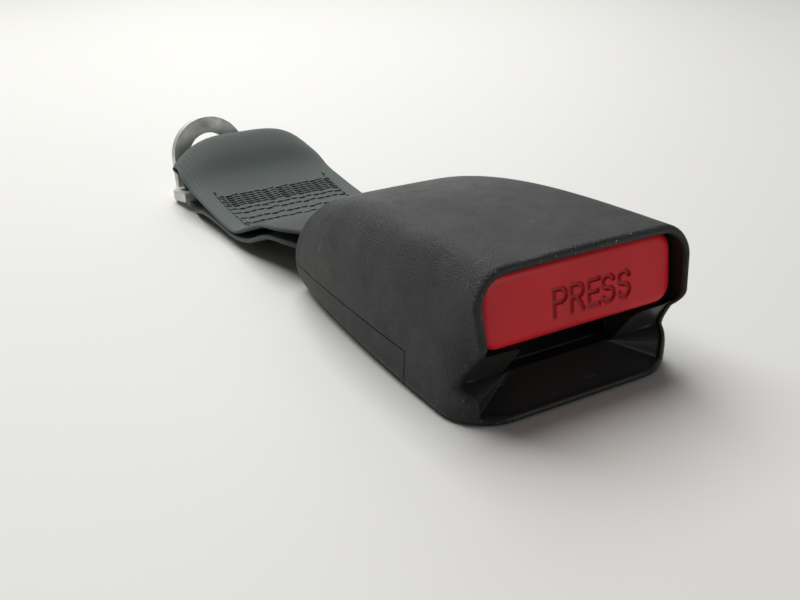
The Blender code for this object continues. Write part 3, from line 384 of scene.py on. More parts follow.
def mesh_from(work, name):
    bmesh.ops.recalc_face_normals(work, faces=work.faces)
    mesh = bpy.data.meshes.new(name)
    work.to_mesh(mesh)
    work.free()
    return mesh


def piece_from(name, mesh, skin, angle=SMOOTH_ANGLE):
    """A piece at the origin with its place in its mesh, shaded smooth except at its sharp edges."""
    piece = bpy.data.objects.new(name, mesh)
    bpy.context.scene.collection.objects.link(piece)
    mesh.materials.clear()
    mesh.materials.append(skin)
    mesh.shade_smooth()
    mesh.set_sharp_from_angle(angle=angle)
    return piece


def box_mesh(low, high):
    work = bmesh.new()
    bmesh.ops.create_cube(work, size=1.0)
    size = [b - a for a, b in zip(low, high)]
    middle = [(a + b) / 2 for a, b in zip(low, high)]
    matrix = Matrix.Translation(middle) @ Matrix.Diagonal((*size, 1.0))
    bmesh.ops.transform(work, matrix=matrix, verts=work.verts)
    return mesh_from(work, "box")


def bevelled(piece, width, **settings):
    """Rounds a piece's edges for good."""
    edge = piece.modifiers.new("edge", "BEVEL")
    edge.width, edge.segments = width, 3
    for key, value in settings.items():
        setattr(edge, key, value)
    piece.data = evaluated_mesh(piece)
    piece.modifiers.clear()


def rod_mesh(axis, centre, radius, low, high, segments=28):
    work = bmesh.new()
    bmesh.ops.create_cone(work, cap_ends=True, segments=segments, radius1=radius, radius2=radius,
                          depth=high - low)
    turn = {"X": Matrix.Rotation(math.pi / 2, 4, "Y"), "Z": Matrix()}[axis]
    place = Vector(centre)
    place["XYZ".index(axis)] = (low + high) / 2
    bmesh.ops.transform(work, matrix=Matrix.Translation(place) @ turn, verts=work.verts)
    return mesh_from(work, "rod")


def evaluated_mesh(piece):
    bpy.context.view_layer.update()
    return bpy.data.meshes.new_from_object(piece.evaluated_get(bpy.context.evaluated_depsgraph_get()))


def combine(mesh, other, operation):
    """Cuts or joins two closed meshes and returns the result."""
    first, second = (bpy.data.objects.new(n, m) for n, m in (("first", mesh), ("second", other)))
    for thing in (first, second):
        bpy.context.scene.collection.objects.link(thing)
    step = first.modifiers.new(operation.lower(), "BOOLEAN")
    step.object, step.operation, step.solver = second, operation, "MANIFOLD"
    result = evaluated_mesh(first)
    for thing in (first, second):
        bpy.data.objects.remove(thing)
    return result


def skin_rings(rings, closed_along=True):
    """Faces between rings of points, each ring closed."""
    work = bmesh.new()
    verts = [[work.verts.new(p) for p in ring] for ring in rings]
    pairs = zip(verts, verts[1:] + verts[:1]) if closed_along else zip(verts, verts[1:])
    for a, b in pairs:
        for i in range(len(a)):
            j = (i + 1) % len(a)
            work.faces.new((a[i], a[j], b[j], b[i]))
    return work, verts


def rim_plane(z):
    """Depth of the bezel rim at a height: the face leans back towards its top."""
    return FACE_LEAN * (z - FRONT_HEIGHT / 2) + FRONT_REACH


def lip_depth(x):
    """Depth of the lip's front in plan: straight across the middle, rounded to the sides."""
    past = min(max(x - LIP_FLAT_HALF, 0.0), LIP_CORNER_RADIUS)
    return LIP_FRONT + LIP_CORNER_RADIUS - math.sqrt(LIP_CORNER_RADIUS ** 2 - past ** 2)


def lip_cutback(y):
    """How far the side walls draw in towards the lip's front."""
    reach = LIP_FRONT + LIP_CORNER_RADIUS - max(y, LIP_CORNER_DEPTH)
    return LIP_CORNER_RADIUS - math.sqrt(LIP_CORNER_RADIUS ** 2 - max(reach, 0.0) ** 2)


def side_edge(z):
    """Depth of the housing's front edge on its side: the rim, the notch below it, then the lip."""
    if z >= BEZEL_FOOT:
        return rim_plane(z)
    if z >= NOTCH_HEIGHT:
        return mix(rim_plane(BEZEL_FOOT), NOTCH_DEPTH, smooth((BEZEL_FOOT - z) / (BEZEL_FOOT - NOTCH_HEIGHT)))
    return mix(LIP_CORNER_DEPTH, NOTCH_DEPTH, (z / NOTCH_HEIGHT) ** 2.2)


def fillet(before, corner, after, radius, count):
    """Arc points that round a corner between two directions."""
    a = (before - corner).normalized()
    b = (after - corner).normalized()
    half = a.angle(b) / 2
    reach = radius / math.tan(half)
    centre = corner + (a + b).normalized() * (radius / math.sin(half))
    start = corner + a * reach - centre
    turn = math.pi - 2 * half
    return [centre + Matrix.Rotation(turn * i / count, 2) @ start for i in range(count + 1)]


def half_outline(y, inset=0.0):
    """Right half of the housing's cross-section, from bottom centre round to top centre."""
    t = min(max(y / HOUSING_LENGTH, 0.0), 1.0)
    low = mix(FRONT_HALF_BOTTOM, REAR_HALF_BOTTOM, t ** 2.5)
    high = mix(FRONT_HALF_TOP, REAR_HALF_TOP, t ** 2.5)
    height = mix(FRONT_HEIGHT, REAR_HEIGHT, t ** 3.4)
    lean = (high - low) / height
    bottom = Vector((low + lean * inset - inset, inset))
    top = Vector((high - lean * inset - inset, height - inset))
    low_radius = max(mix(FRONT_BOTTOM_RADIUS, REAR_BOTTOM_RADIUS, t) - inset, 0.0004)
    top_radius = max(mix(FRONT_TOP_RADIUS, REAR_TOP_RADIUS, t) - inset, 0.0004)
    points = [Vector((0.0, inset))]
    points += fillet(Vector((0.0, inset)), bottom, top, low_radius, LOW_ARC)
    points += fillet(bottom, top, Vector((0.0, height - inset)), top_radius, TOP_ARC)
    points += [Vector((points[-1].x * (1 - share), height - inset)) for share in (0.25, 0.5, 0.75, 1.0)]
    curl = min(max((y - HOUSING_LENGTH + REAR_CURL_LENGTH) / REAR_CURL_LENGTH, 0.0), 1.0)
    shrink = mix(REAR_CURL_SCALE, 1.0, math.sqrt(1 - curl * curl))
    cutback = lip_cutback(y)
    shaped = []
    for p in points:
        crown = TOP_CROWN * (1 - (p.x / high) ** 2) * smooth((p.y - height + inset + top_radius) / top_radius)
        near_lip = 1 - smooth((p.y - NOTCH_HEIGHT) / (SHELF_HEIGHT - NOTCH_HEIGHT))
        x = p.x * shrink * (1 - cutback * near_lip / low)
        z = REAR_CURL_HEIGHT + (p.y + crown - REAR_CURL_HEIGHT) * shrink
        shaped.append((x, z))
    return np.array(shaped)


def shares_along(outline):
    """How far along an outline each of its points lies, from 0 to 1."""
    steps = np.hypot(*np.diff(outline, axis=0).T)
    return np.concatenate([[0.0], np.cumsum(steps)]) / steps.sum()


def resample(outline, fractions):
    along = shares_along(outline)
    return np.stack([np.interp(fractions, along, outline[:, i]) for i in (0, 1)], axis=1)


def front_fractions():
    """Where each ring point sits along the half outline at the front, so that rows follow the mouth's shape."""
    outline = half_outline(MOUTH_DEPTH * 2)
    along = shares_along(outline)
    side = slice(LOW_ARC + 1, LOW_ARC + 3)
    marks = [0.0, along[1], along[LOW_ARC + 1]]
    for z in (LIP_TOP, NOTCH_HEIGHT, BEZEL_FOOT):
        marks.append(float(np.interp(z, outline[side, 1], along[side])))
    marks += [along[LOW_ARC + 2], along[LOW_ARC + TOP_ARC + 2], 1.0]
    fractions = [0.0]
    for start, end, count in zip(marks, marks[1:], RING_SEGMENTS.values()):
        fractions += [mix(start, end, (i + 1) / count) for i in range(count)]
    return np.array(fractions)


def along_path(path, t):
    """Point at share t of a path given as (share, point) pairs."""
    for (t0, p0), (t1, p1) in zip(path, path[1:]):
        if t <= t1:
            return tuple(mix(a, b, (t - t0) / (t1 - t0)) for a, b in zip(p0, p1))
    return path[-1][1]


def throat_ring():
    """The edge where the mouth ends: the button's opening above and the narrower tongue slot below it."""
    n = RING_SEGMENTS
    near = 0.9
    ring = [(SLOT_HALF * near * i / n["floor"], FLOOR_DEPTH, FLOOR_HEIGHT) for i in range(n["floor"] + 1)]
    corner = n["corner"] + n["lip"] + n["fold"]
    ring += [(SLOT_HALF * mix(near, 1.0, (i + 1) / corner), FLOOR_DEPTH, FLOOR_HEIGHT) for i in range(corner)]
    slot_side = [(0.0, (SLOT_HALF, FLOOR_DEPTH, FLOOR_HEIGHT)),
                 (3 / 7, (SLOT_HALF, SHELF_FRONT, SHELF_HEIGHT)),
                 (5 / 7, (OPENING_HALF, SHELF_FRONT, SHELF_HEIGHT)),
                 (1.0, (OPENING_HALF, OPENING_DEPTH, BEZEL_FOOT))]
    for i in range(n["notch"]):
        share = (i + 1) / n["notch"]
        spread = SHELF_ROUNDING * min(share, 1 - share) / 0.5
        near_by = [along_path(slot_side, share + spread * k / 6) for k in range(-6, 7)]
        ring.append(tuple(np.mean(near_by, axis=0)))
    for i in range(n["cheek"]):
        z = mix(BEZEL_FOOT, OPENING_TOP - OPENING_RADIUS, (i + 1) / n["cheek"])
        ring.append((OPENING_HALF, OPENING_DEPTH, z))
    for i in range(n["shoulder"]):
        a = math.pi / 2 * (i + 1) / n["shoulder"]
        x = OPENING_HALF - OPENING_RADIUS * (1 - math.cos(a))
        ring.append((x, OPENING_DEPTH, OPENING_TOP - OPENING_RADIUS * (1 - math.sin(a))))
    for i in range(n["roof"]):
        x = (OPENING_HALF - OPENING_RADIUS) * (1 - (i + 1) / n["roof"])
        ring.append((x, OPENING_DEPTH, OPENING_TOP))
    return ring


def full_ring(half):
    """Mirrors a half ring that starts and ends on the centre plane, and moves it to the object's frame."""
    ring = list(half) + [(-x, y, z) for x, y, z in half[-2:0:-1]]
    return [(x, y + FRONT_Y, z) for x, y, z in ring]


def housing_rows():
    """Closed rings of the whole housing with each ring's share of grain and of wear."""
    front = front_fractions()
    even = np.linspace(0.0, 1.0, len(front))
    rows = []

    def ring_at(y, inset):
        return resample(half_outline(y, inset), mix(front, even, smooth(y / HOUSING_LENGTH)))

    def add(row, grain, wear):
        rows.append((full_ring(row), grain, wear))

    corner = ring_at(LIP_CORNER_DEPTH, 0.0)
    flat = RING_SEGMENTS["floor"]
    widest = FRONT_HALF_BOTTOM - lip_cutback(0.0)
    edge = [lip_depth(x * widest / corner[flat][0]) for x, z in corner[:flat + 1]]
    edge += [side_edge(z) for x, z in ring_at(MOUTH_DEPTH, 0.0)[flat + 1:]]
    straight = HOUSING_LENGTH - REAR_CURL_LENGTH
    behind = MOUTH_DEPTH + MOUTH_MARGIN
    curl = [straight + REAR_CURL_LENGTH * math.sin(a * math.pi / 40) for a in range(20, -1, -1)]
    for y in curl + [mix(straight, behind, i / 22) for i in range(1, 23)]:
        add([(x, y, z) for x, z in ring_at(y, 0.0)], 1.0, 0.0)

    def edge_row(depth, inset):
        found = []
        for k, start in enumerate(edge):
            x, z = ring_at(start + depth, inset)[k]
            found.append((x, start + depth, z))
        return found

    for share in EDGE_SHARES:
        row = []
        for k, start in enumerate(edge):
            y = mix(start + RIM_RADIUS, behind, share)
            x, z = ring_at(y, 0.0)[k]
            row.append((x, y, z))
        add(row, 1.0, 0.55 * smooth(1 - share / 0.3))
    for i in range(8):
        a = math.pi / 2 * i / 7
        add(edge_row(RIM_RADIUS * (1 - math.sin(a)), RIM_RADIUS * (1 - math.cos(a))), 1 - i / 8, 1.0)
    for i in range(1, 6):
        a = math.pi / 2 * i / 5
        row = edge_row(RIM_INNER_RADIUS * (1 - math.cos(a)), RIM_RADIUS + RIM_INNER_RADIUS * math.sin(a))
        add(row, 0.0, 1 - i / 5)
        inner_edge = row
    throat = throat_ring()
    for share in np.linspace(0.0, 1.0, 13)[1:]:
        add([tuple(mix(a, b, share) for a, b in zip(p, q)) for p, q in zip(inner_edge, throat)], 0.0, 0.0)
    deep = [OPENING_END if z >= BEZEL_FOOT - FIT_GAP else MOUTH_DEPTH for x, y, z in throat]
    add([(x, y, z) for (x, _, z), y in zip(throat, deep)], 0.0, 0.0)
    for i in range(7):
        row = []
        for k, start in enumerate(deep):
            y = mix(start + 2 * FIT_GAP, straight, i / 6)
            x, z = ring_at(y, WALL)[k]
            row.append((x, y, z))
        add(row, 0.0, 0.0)
    for a in range(1, 9):
        y = straight + REAR_CURL_LENGTH * math.sin(a * math.pi / 16) if a < 8 else HOUSING_LENGTH
        add([(x, y, z) for x, z in ring_at(y, WALL)], 0.0, 0.0)
    return rows


def lower_region(grow):
    """The space behind the parting step and below the parting line."""
    reach = 2 * FRONT_HALF_BOTTOM
    return box_mesh((-reach, PARTING_START - grow + FRONT_Y, -reach),
                    (reach, HOUSING_LENGTH + reach + FRONT_Y, PARTING_HEIGHT + grow))


def housing_mesh(rows):
    work, _ = skin_rings([ring for ring, _, _ in rows])
    bmesh.ops.triangulate(work, faces=work.faces)
    return mesh_from(work, "housing")


def paint(mesh, rows):
    """Gives each point the grain and wear of the nearest ring point."""
    points = [(p, grain, wear) for ring, grain, wear in rows for p in ring]
    tree = KDTree(len(points))
    for i, (p, _, _) in enumerate(points):
        tree.insert(p, i)
    tree.balance()
    nearest = [tree.find(v.co)[1] for v in mesh.vertices]
    for name, k in (("grain", 1), ("wear", 2)):
        layer = mesh.attributes.new(name, "FLOAT", "POINT")
        layer.data.foreach_set("value", [points[i][k] for i in nearest])


def inside_extras(name):
    """Ribs, lugs and the boss inside each cover, at the places of the solids."""
    y = FRONT_Y
    seat, sunk = FRAME_BOTTOM - FIT_GAP, WALL * 0.5
    if name == "lower_cover":
        return [box_mesh((-RIB_HALF, start + y, sunk), (RIB_HALF, start + RIB_THICKNESS + y, seat))
                for start in RIB_STARTS]
    extras = [box_mesh((-SEAT_HALF, SEAT_START + y, sunk), (SEAT_HALF, SEAT_END + y, seat))]
    for side in (-1, 1):
        ends = sorted((side * LUG_INNER, side * (FRONT_HALF_TOP - WALL * 0.4)))
        extras.append(box_mesh((ends[0], LUG_START + y, LUG_LOW), (ends[1], LUG_END + y, LUG_TOP)))
    roof = half_outline(BOSS_Y, WALL)[-1][1]
    extras.append(rod_mesh("Z", (0.0, BOSS_Y + y, 0.0), BOSS_RADIUS, BOSS_LOW, roof + WALL * 0.5))
    return extras


class BUCKLE_OT_covers(bpy.types.Operator):
    """Make the two moulded covers"""

    bl_idname = "buckle.covers"
    bl_label = "Covers"

    def execute(self, context):
        rows = housing_rows()
        skin = moulded_abs()
        halves = (("upper_cover", lower_region(FIT_GAP / 2), "DIFFERENCE"),
                  ("lower_cover", lower_region(-FIT_GAP / 2), "INTERSECT"))
        for name, region, operation in halves:
            mesh = combine(housing_mesh(rows), region, operation)
            for extra in inside_extras(name):
                mesh = combine(mesh, extra, "UNION")
            paint(mesh, rows)
            cover = piece_from(name + "_moulded", mesh, skin)
            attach(cover, "housing")
            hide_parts(name)
        return {"FINISHED"}


def button_face(z):
    return FACE_LEAN * (z - FRONT_HEIGHT / 2) + BUTTON_RECESS


def arc(cx, cz, rx, rz, start, end, count=10):
    steps = [math.radians(mix(start, end, i / count)) for i in range(count + 1)]
    return [(cx + rx * math.cos(a), cz + rz * math.sin(a)) for a in steps]


# Strokes of the engraved word in a box one wide and one high for each letter
LETTER_STROKES = {
    "P": [[(0, 0), (0, 1), (0.55, 1)] + arc(0.55, 0.74, 0.45, 0.26, 90, -90) + [(0, 0.48)]],
    "R": [[(0, 0), (0, 1), (0.55, 1)] + arc(0.55, 0.75, 0.45, 0.25, 90, -90) + [(0, 0.50)],
          [(0.5, 0.50), (1, 0)]],
    "E": [[(1, 1), (0, 1), (0, 0), (1, 0)], [(0, 0.52), (0.85, 0.52)]],
    "S": [arc(0.5, 0.75, 0.5, 0.25, 20, 180) + arc(0.5, 0.75, 0.5, 0.25, 180, 270)
          + arc(0.5, 0.25, 0.5, 0.25, 90, -160, 16)],
}
# The word on the button: each letter with its left and right side, and the height of all
WORD = (("P", -0.0067, -0.0038), ("R", -0.0025, 0.0003), ("E", 0.0017, 0.0043), ("S", 0.0052, 0.0080),
        ("S", 0.0092, 0.0119))
WORD_REACH = 0.0135
WORD_LOW, WORD_HIGH = 0.0189, 0.0238
# The face's columns as (share of the half width, step) marks, and the heights at which its rows change step
FACE_COLUMNS = ((-1.0, 0.006), (-0.92, 0.03), (-0.32, 0.0042), (0.55, 0.03), (0.92, 0.006), (1.0, 1.0))
FACE_ARC, LOW_ARC_END, HIGH_ARC_START, HIGH_ARC_END = 14, 0.0038, 0.0038, 0.0037
FINE_ROW, COARSE_ROW, FINE_TO = 0.0001, 0.0002, 0.0245


def stroke_distance(points):
    """Distance of each point on the button's face to the nearest stroke of the word."""
    nearest = np.full(len(points), 1.0)
    for letter, left, right in WORD:
        for stroke in LETTER_STROKES[letter]:
            placed = [np.array((mix(left, right, u), mix(WORD_LOW, WORD_HIGH, v))) for u, v in stroke]
            for a, b in zip(placed, placed[1:]):
                ahead = b - a
                t = np.clip((points - a) @ ahead / max(ahead @ ahead, 1e-12), 0.0, 1.0)
                nearest = np.minimum(nearest, np.linalg.norm(points - a - t[:, None] * ahead, axis=1))
    return nearest


def spaced(marks):
    """Values along a line from (start, step) marks, each step holding until the next mark."""
    values = []
    for (start, step), (end, _) in zip(marks, marks[1:]):
        count = max(1, round((end - start) / step))
        values += [mix(start, end, i / count) for i in range(count)]
    return values + [marks[-1][0]]


def button_shell():
    """The button's outside: a fine face with the engraved word, rounded edges, guided walls and a step."""
    look = looks()
    half, low, high, radius, soft = BUTTON_HALF, BUTTON_BOTTOM, BUTTON_TOP, BUTTON_RADIUS, look.button_edge
    columns = spaced(FACE_COLUMNS)
    arc_steps = [radius * (1 - math.cos(math.pi / 2 * i / FACE_ARC)) for i in range(FACE_ARC)]
    rows = [low + s for s in arc_steps if s < LOW_ARC_END]
    rows += spaced(((rows[-1] + COARSE_ROW, FINE_ROW), (FINE_TO, COARSE_ROW), (high - HIGH_ARC_START, 1.0)))
    rows += [high - s for s in reversed(arc_steps) if s < HIGH_ARC_END]
    work = bmesh.new()
    grid = []
    for z in rows:
        rise = max(radius - (z - low), radius - (high - z), 0.0)
        width = half - radius + math.sqrt(max(radius ** 2 - rise ** 2, 0.0))
        grid.append([(u * width, z) for u in columns])
    places = np.array(grid)
    flat = places.reshape(-1, 2)
    past = np.zeros_like(flat)
    past[:, 0] = np.maximum(np.abs(flat[:, 0]) - (half - radius), 0.0)
    middle = (low + high) / 2
    past[:, 1] = np.maximum(np.abs(flat[:, 1] - middle) - ((high - low) / 2 - radius), 0.0)
    straight = np.minimum(half - np.abs(flat[:, 0]), (high - low) / 2 - np.abs(flat[:, 1] - middle))
    in_corner = (past[:, 0] > 0) & (past[:, 1] > 0)
    from_edge = np.where(in_corner, radius - np.hypot(past[:, 0], past[:, 1]), straight)
    reach = np.clip(soft - from_edge, 0.0, soft)
    depth = soft - np.sqrt(soft ** 2 - reach ** 2)
    past_stroke = (stroke_distance(flat) - look.letter_stroke * 0.38) / (look.letter_stroke * 0.17)
    groove = 1 - np.clip(past_stroke, 0.0, 1.0)
    depth += look.letter_depth * groove * groove * (3 - 2 * groove)
    faces_y = button_face(flat[:, 1]) + depth + FRONT_Y
    points = np.stack([flat[:, 0], faces_y, flat[:, 1]], axis=1).reshape(len(rows), len(columns), 3)
    verts = [[work.verts.new(p) for p in row] for row in points]
    for a, b in zip(verts, verts[1:]):
        for j in range(len(a) - 1):
            work.faces.new((a[j], a[j + 1], b[j + 1], b[j]))
    ring = verts[0][:-1] + [row[-1] for row in verts[:-1]] + verts[-1][:0:-1] + [row[0] for row in verts[:0:-1]]
    guided, back = BUTTON_RECESS + BUTTON_GUIDED, BUTTON_RECESS + BUTTON_LENGTH
    shrink = (half - BUTTON_STEP) / half
    lower = (high - BUTTON_STEP - low) / (high - low)
    previous = ring
    sections = ((guided, 1.0, 1.0), (guided + BUTTON_STEP * 0.4, shrink, lower), (back, shrink, lower))
    for y, wide, tall in sections:
        made = [work.verts.new((v.co.x * wide, y + FRONT_Y, low + (v.co.z - low) * tall))
                for v in ring]
        for i in range(len(ring)):
            j = (i + 1) % len(ring)
            work.faces.new((previous[j], previous[i], made[i], made[j]))
        previous = made
    work.faces.new(previous)
    bmesh.ops.triangulate(work, faces=[f for f in work.faces if len(f.verts) > 4])
    return mesh_from(work, "button")


def hollow_button(mesh):
    """Hollows the button and adds the arms and spring seats of its solid."""
    y, wall = FRONT_Y, BUTTON_WALL
    back, guided = BUTTON_RECESS + BUTTON_LENGTH + y, BUTTON_RECESS + BUTTON_GUIDED + y
    front = button_face(BUTTON_TOP) + wall + y
    half, top = BUTTON_HALF - BUTTON_STEP - wall, BUTTON_TOP - BUTTON_STEP - wall
    mesh = combine(mesh, box_mesh((-half, front, BUTTON_BOTTOM + wall), (half, back + wall, top)), "DIFFERENCE")
    mesh = combine(mesh, box_mesh((-half + wall, guided, BUTTON_BOTTOM - wall),
                                  (half - wall, back + wall, BUTTON_BOTTOM + 2 * wall)), "DIFFERENCE")
    pin_y, arm_low = PIN_Y + y, PIN_Z - PIN_HOLE - 0.0001
    for side in (-1, 1):
        inner, outer = sorted((side * ARM_INNER, side * ARM_OUTER))
        arm = box_mesh((inner, front - wall * 0.5, arm_low), (outer, pin_y + ARM_REACH, arm_low + ARM_HEIGHT))
        mesh = combine(mesh, arm, "UNION")
        inner, outer = sorted((side * SPRING_SEAT_INNER, side * (half + wall * 0.5)))
        seat = box_mesh((inner, back - SPRING_SEAT_FRONT, BUTTON_BOTTOM + wall * 0.5),
                        (outer, back - SPRING_SEAT_BACK - FIT_GAP, top + wall * 0.5))
        mesh = combine(mesh, seat, "UNION")
    hole = rod_mesh("X", (0.0, pin_y, PIN_Z), PIN_HOLE, -2 * ARM_INNER, 2 * ARM_INNER)
    return combine(mesh, hole, "DIFFERENCE")


def mark_letter_shade(mesh):
    """Marks how deep each point of the engraved word lies, for the painted shade in its grooves."""
    places = np.array([v.co for v in mesh.vertices])
    sunk = (places[:, 1] - FRONT_Y - button_face(places[:, 2])) / looks().letter_depth
    near = (np.abs(places[:, 0]) < WORD_REACH) & (sunk < 1.5)
    near &= np.abs(places[:, 2] - (WORD_LOW + WORD_HIGH) / 2) < WORD_HIGH - WORD_LOW
    mesh.attributes.new("sunk", "FLOAT", "POINT").data.foreach_set("value", np.clip(sunk, 0.0, 1.0) * near)


class BUCKLE_OT_button(bpy.types.Operator):
    """Make the release button with its engraved word"""

    bl_idname = "buckle.button"
    bl_label = "Release button"

    def execute(self, context):
        mesh = hollow_button(button_shell())
        button = piece_from("release_button_moulded", mesh, satin_acetal(), math.radians(80))
        mark_letter_shade(button.data)
        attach(button, "button")
        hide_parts("release_button")
        return {"FINISHED"}


def curve_through(points, per_span):
    """Closed Catmull-Rom curve through tuples of any length."""
    points = np.array(points)
    curve = []
    for i in range(len(points)):
        p0, p1, p2, p3 = (points[(i + k) % len(points)] for k in (-1, 0, 1, 2))
        for step in range(per_span):
            t = step / per_span
            curve.append(0.5 * (2 * p1 + (p2 - p0) * t + (2 * p0 - 5 * p1 + 4 * p2 - p3) * t * t
                                + (3 * p1 - p0 - 3 * p2 + p3) * t ** 3))
    return np.array(curve)


def strap_route():
    """The webbing's middle surface as a closed route: y, z, half width and how far its edges hang."""
    bar_mid = FRAME_BOTTOM + FRAME_RISE + STEEL / 2
    turn = STEEL / 2 + WEB_THICKNESS / 2 + 0.0005
    bar_front = FRAME_END - STRAP_BAR_LENGTH
    inner, full, outer, droop = 0.0182, 0.0230, 0.0215, 0.0078
    slotted = PLATE_SLOT_HALF - 0.0006
    under = ANCHOR_BAR_Z - PLATE_THICKNESS / 2 - WEB_THICKNESS / 2 - 0.0007
    bar, apart = ANCHOR_BAR_Y, WEB_THICKNESS
    return [
        (bar_front - turn + 0.0006, bar_mid, inner, 0.0),
        (bar_front + 0.0010, bar_mid + turn, inner, 0.0),
        (HOUSING_LENGTH + 0.0001, bar_mid + turn + 0.0001, inner, 0.0003),
        (0.0930, 0.0128, 0.0215, 0.0005),
        (0.1030, 0.0110, 0.0222, 0.0004),
        (0.1110, 0.0077, 0.0227, 0.0002),
        (0.1200, 0.0030 + apart, full, 0.0),
        (0.1310, 0.0036 + apart, full, 0.0),
        (0.1420, 0.0056 + apart, full, droop * 0.05),
        (0.1500, 0.0104, full, droop * 0.34),
        (0.1570, 0.0162, full, droop * 0.80),
        (0.1630, 0.0191, 0.0220, droop),
        (0.1675, 0.0168, outer, droop * 0.80),
        (0.1682, 0.0118, outer, droop * 0.30),
        (0.1664, 0.0074, slotted, 0.0),
        (bar + 0.0053, 0.0046, slotted, 0.0),
        (bar + 0.0036, 0.0014, slotted, 0.0),
        (bar, under, slotted, 0.0),
        (bar - 0.0080, under + 0.0002, 0.0218, 0.0),
        (0.1420, 0.0033, full, 0.0),
        (0.1310, 0.0036 - apart * 0.2, full, 0.0),
        (0.1200, 0.0030 - apart * 0.2, full, 0.0),
        (0.1110, 0.0040, 0.0227, 0.0),
        (0.1010, 0.0080, 0.0220, 0.0),
        (0.0910, 0.0094, 0.0212, 0.0),
        (HOUSING_LENGTH + 0.0001, bar_mid - turn - 0.0001, inner, 0.0),
        (bar_front + 0.0010, bar_mid - turn, inner, 0.0),
    ]


ROUTE = curve_through(strap_route(), 10)
ROUTE_STEPS = np.linalg.norm(np.roll(ROUTE, -1, 0)[:, :2] - ROUTE[:, :2], axis=1)
EDGE_DROP = 3.7
# Share of the webbing's half width at which its selvedge starts to round
SELVEDGE = 0.96


def route_normals():
    ahead = np.roll(ROUTE, -1, 0)[:, :2] - np.roll(ROUTE, 1, 0)[:, :2]
    ahead /= np.linalg.norm(ahead, axis=1, keepdims=True)
    return np.stack([-ahead[:, 1], ahead[:, 0]], axis=1)


def strap_mesh():
    """One closed loop of webbing with rounded selvedges and a weave map in metres."""
    turn = np.linspace(0, math.pi / 2, 6)
    edge = 1 - SELVEDGE
    flat = np.linspace(-SELVEDGE, SELVEDGE, 30)[1:-1]
    shares = np.concatenate([-np.cos(turn) * edge - SELVEDGE, flat, SELVEDGE + np.sin(turn) * edge])
    normal = route_normals()
    along = np.concatenate([[0.0], np.cumsum(ROUTE_STEPS)])
    rings, maps = [], []
    for (y, z, half, hang), (ny, nz), v in zip(ROUTE, normal, along):
        ring, where = [], []
        for side in (1, -1):
            for u in shares[::side] if side == 1 else shares[::-1][1:-1]:
                rounding = max(abs(u) - SELVEDGE, 0.0) / edge
                offset = side * WEB_THICKNESS / 2 * math.sqrt(max(1 - rounding ** 2, 0.0))
                drop = hang * abs(u) ** EDGE_DROP
                ring.append((half * u, y + ny * offset + FRONT_Y, z + nz * offset - drop))
                where.append((half * u, v))
        rings.append(ring)
        maps.append(where)
    work, verts = skin_rings(rings)
    layer = work.loops.layers.uv.new("weave")
    flat_maps = {v: (i, k) for i, row in enumerate(verts) for k, v in enumerate(row)}
    for face in work.faces:
        rows_here = [flat_maps[loop.vert][0] for loop in face.loops]
        wraps = max(rows_here) - min(rows_here) > 1
        for loop in face.loops:
            i, k = flat_maps[loop.vert]
            u, v = maps[i][k]
            loop[layer].uv = (u, v + (along[-1] if wraps and i == 0 else 0.0))
    return mesh_from(work, "webbing")


class BUCKLE_OT_strap(bpy.types.Operator):
    """Make the webbing strap"""

    bl_idname = "buckle.strap"
    bl_label = "Webbing strap"

    def execute(self, context):
        strap = piece_from("webbing_loop", strap_mesh(), polyester_webbing(), math.radians(70))
        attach(strap, "housing")
        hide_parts("webbing_strap")
        return {"FINISHED"}


def stitch_tree(skin):
    """Lays one short thread along each step of the sewn lines."""
    look = looks()
    tree = bpy.data.node_groups.new("sewn_lines", "GeometryNodeTree")
    tree.interface.new_socket("Geometry", in_out="INPUT", socket_type="NodeSocketGeometry")
    for name, default in (("Stitch length", look.stitch_length), ("Thread radius", look.thread_radius)):
        tree.interface.new_socket(name, in_out="INPUT", socket_type="NodeSocketFloat").default_value = default
    tree.interface.new_socket("Geometry", in_out="OUTPUT", socket_type="NodeSocketGeometry")
    inside = node(tree, "NodeGroupInput")
    line = node(tree, "GeometryNodeMeshToCurve", {0: inside.outputs[0]})
    spread = node(tree, "GeometryNodeResampleCurve", {"Curve": line.outputs[0], "Length": inside.outputs[1]},
                  mode="LENGTH")
    ball = node(tree, "GeometryNodeMeshUVSphere", {"Segments": 8, "Rings": 6, "Radius": 1.0})
    half = node(tree, "ShaderNodeMath", {0: inside.outputs[1], 1: 0.47}, operation="MULTIPLY")
    radius = inside.outputs[2]
    size = node(tree, "ShaderNodeCombineXYZ", {0: half.outputs[0], 1: radius, 2: radius})
    tangent = node(tree, "GeometryNodeInputTangent")
    turn = node(tree, "FunctionNodeAlignRotationToVector", {"Vector": tangent.outputs[0]}, axis="X")
    laid = node(tree, "GeometryNodeInstanceOnPoints", {
        "Points": spread.outputs[0], "Instance": ball.outputs[0], "Rotation": turn.outputs[0],
        "Scale": size.outputs[0]})
    real = node(tree, "GeometryNodeRealizeInstances", {0: laid.outputs[0]})
    dressed = node(tree, "GeometryNodeSetMaterial", {"Geometry": real.outputs[0], "Material": skin})
    node(tree, "NodeGroupOutput", {0: dressed.outputs[0]})
    return tree


def strap_heights():
    """The upper and the lower layer's middle line as (y, z) tables, split at the fold's top."""
    last = int(np.argmax(ROUTE[:, 1]))
    upper, lower = ROUTE[:last], ROUTE[last:]
    return upper, lower[::-1]


# The sewn field: dense bands as first and last depth and count, single rows between, and its two sides
DENSE_BANDS, DENSE_HALF = ((0.1352, 0.1412, 6), (0.1180, 0.1226, 4)), 0.0172
SINGLE_ROWS, SINGLE_HALF = (0.1262, 0.1300, 0.1328), 0.0166
SEWN_SIDE, SEWN_START, SEWN_END, SEWN_ZIGZAG = 0.0178, 0.1180, 0.1440, 0.0004


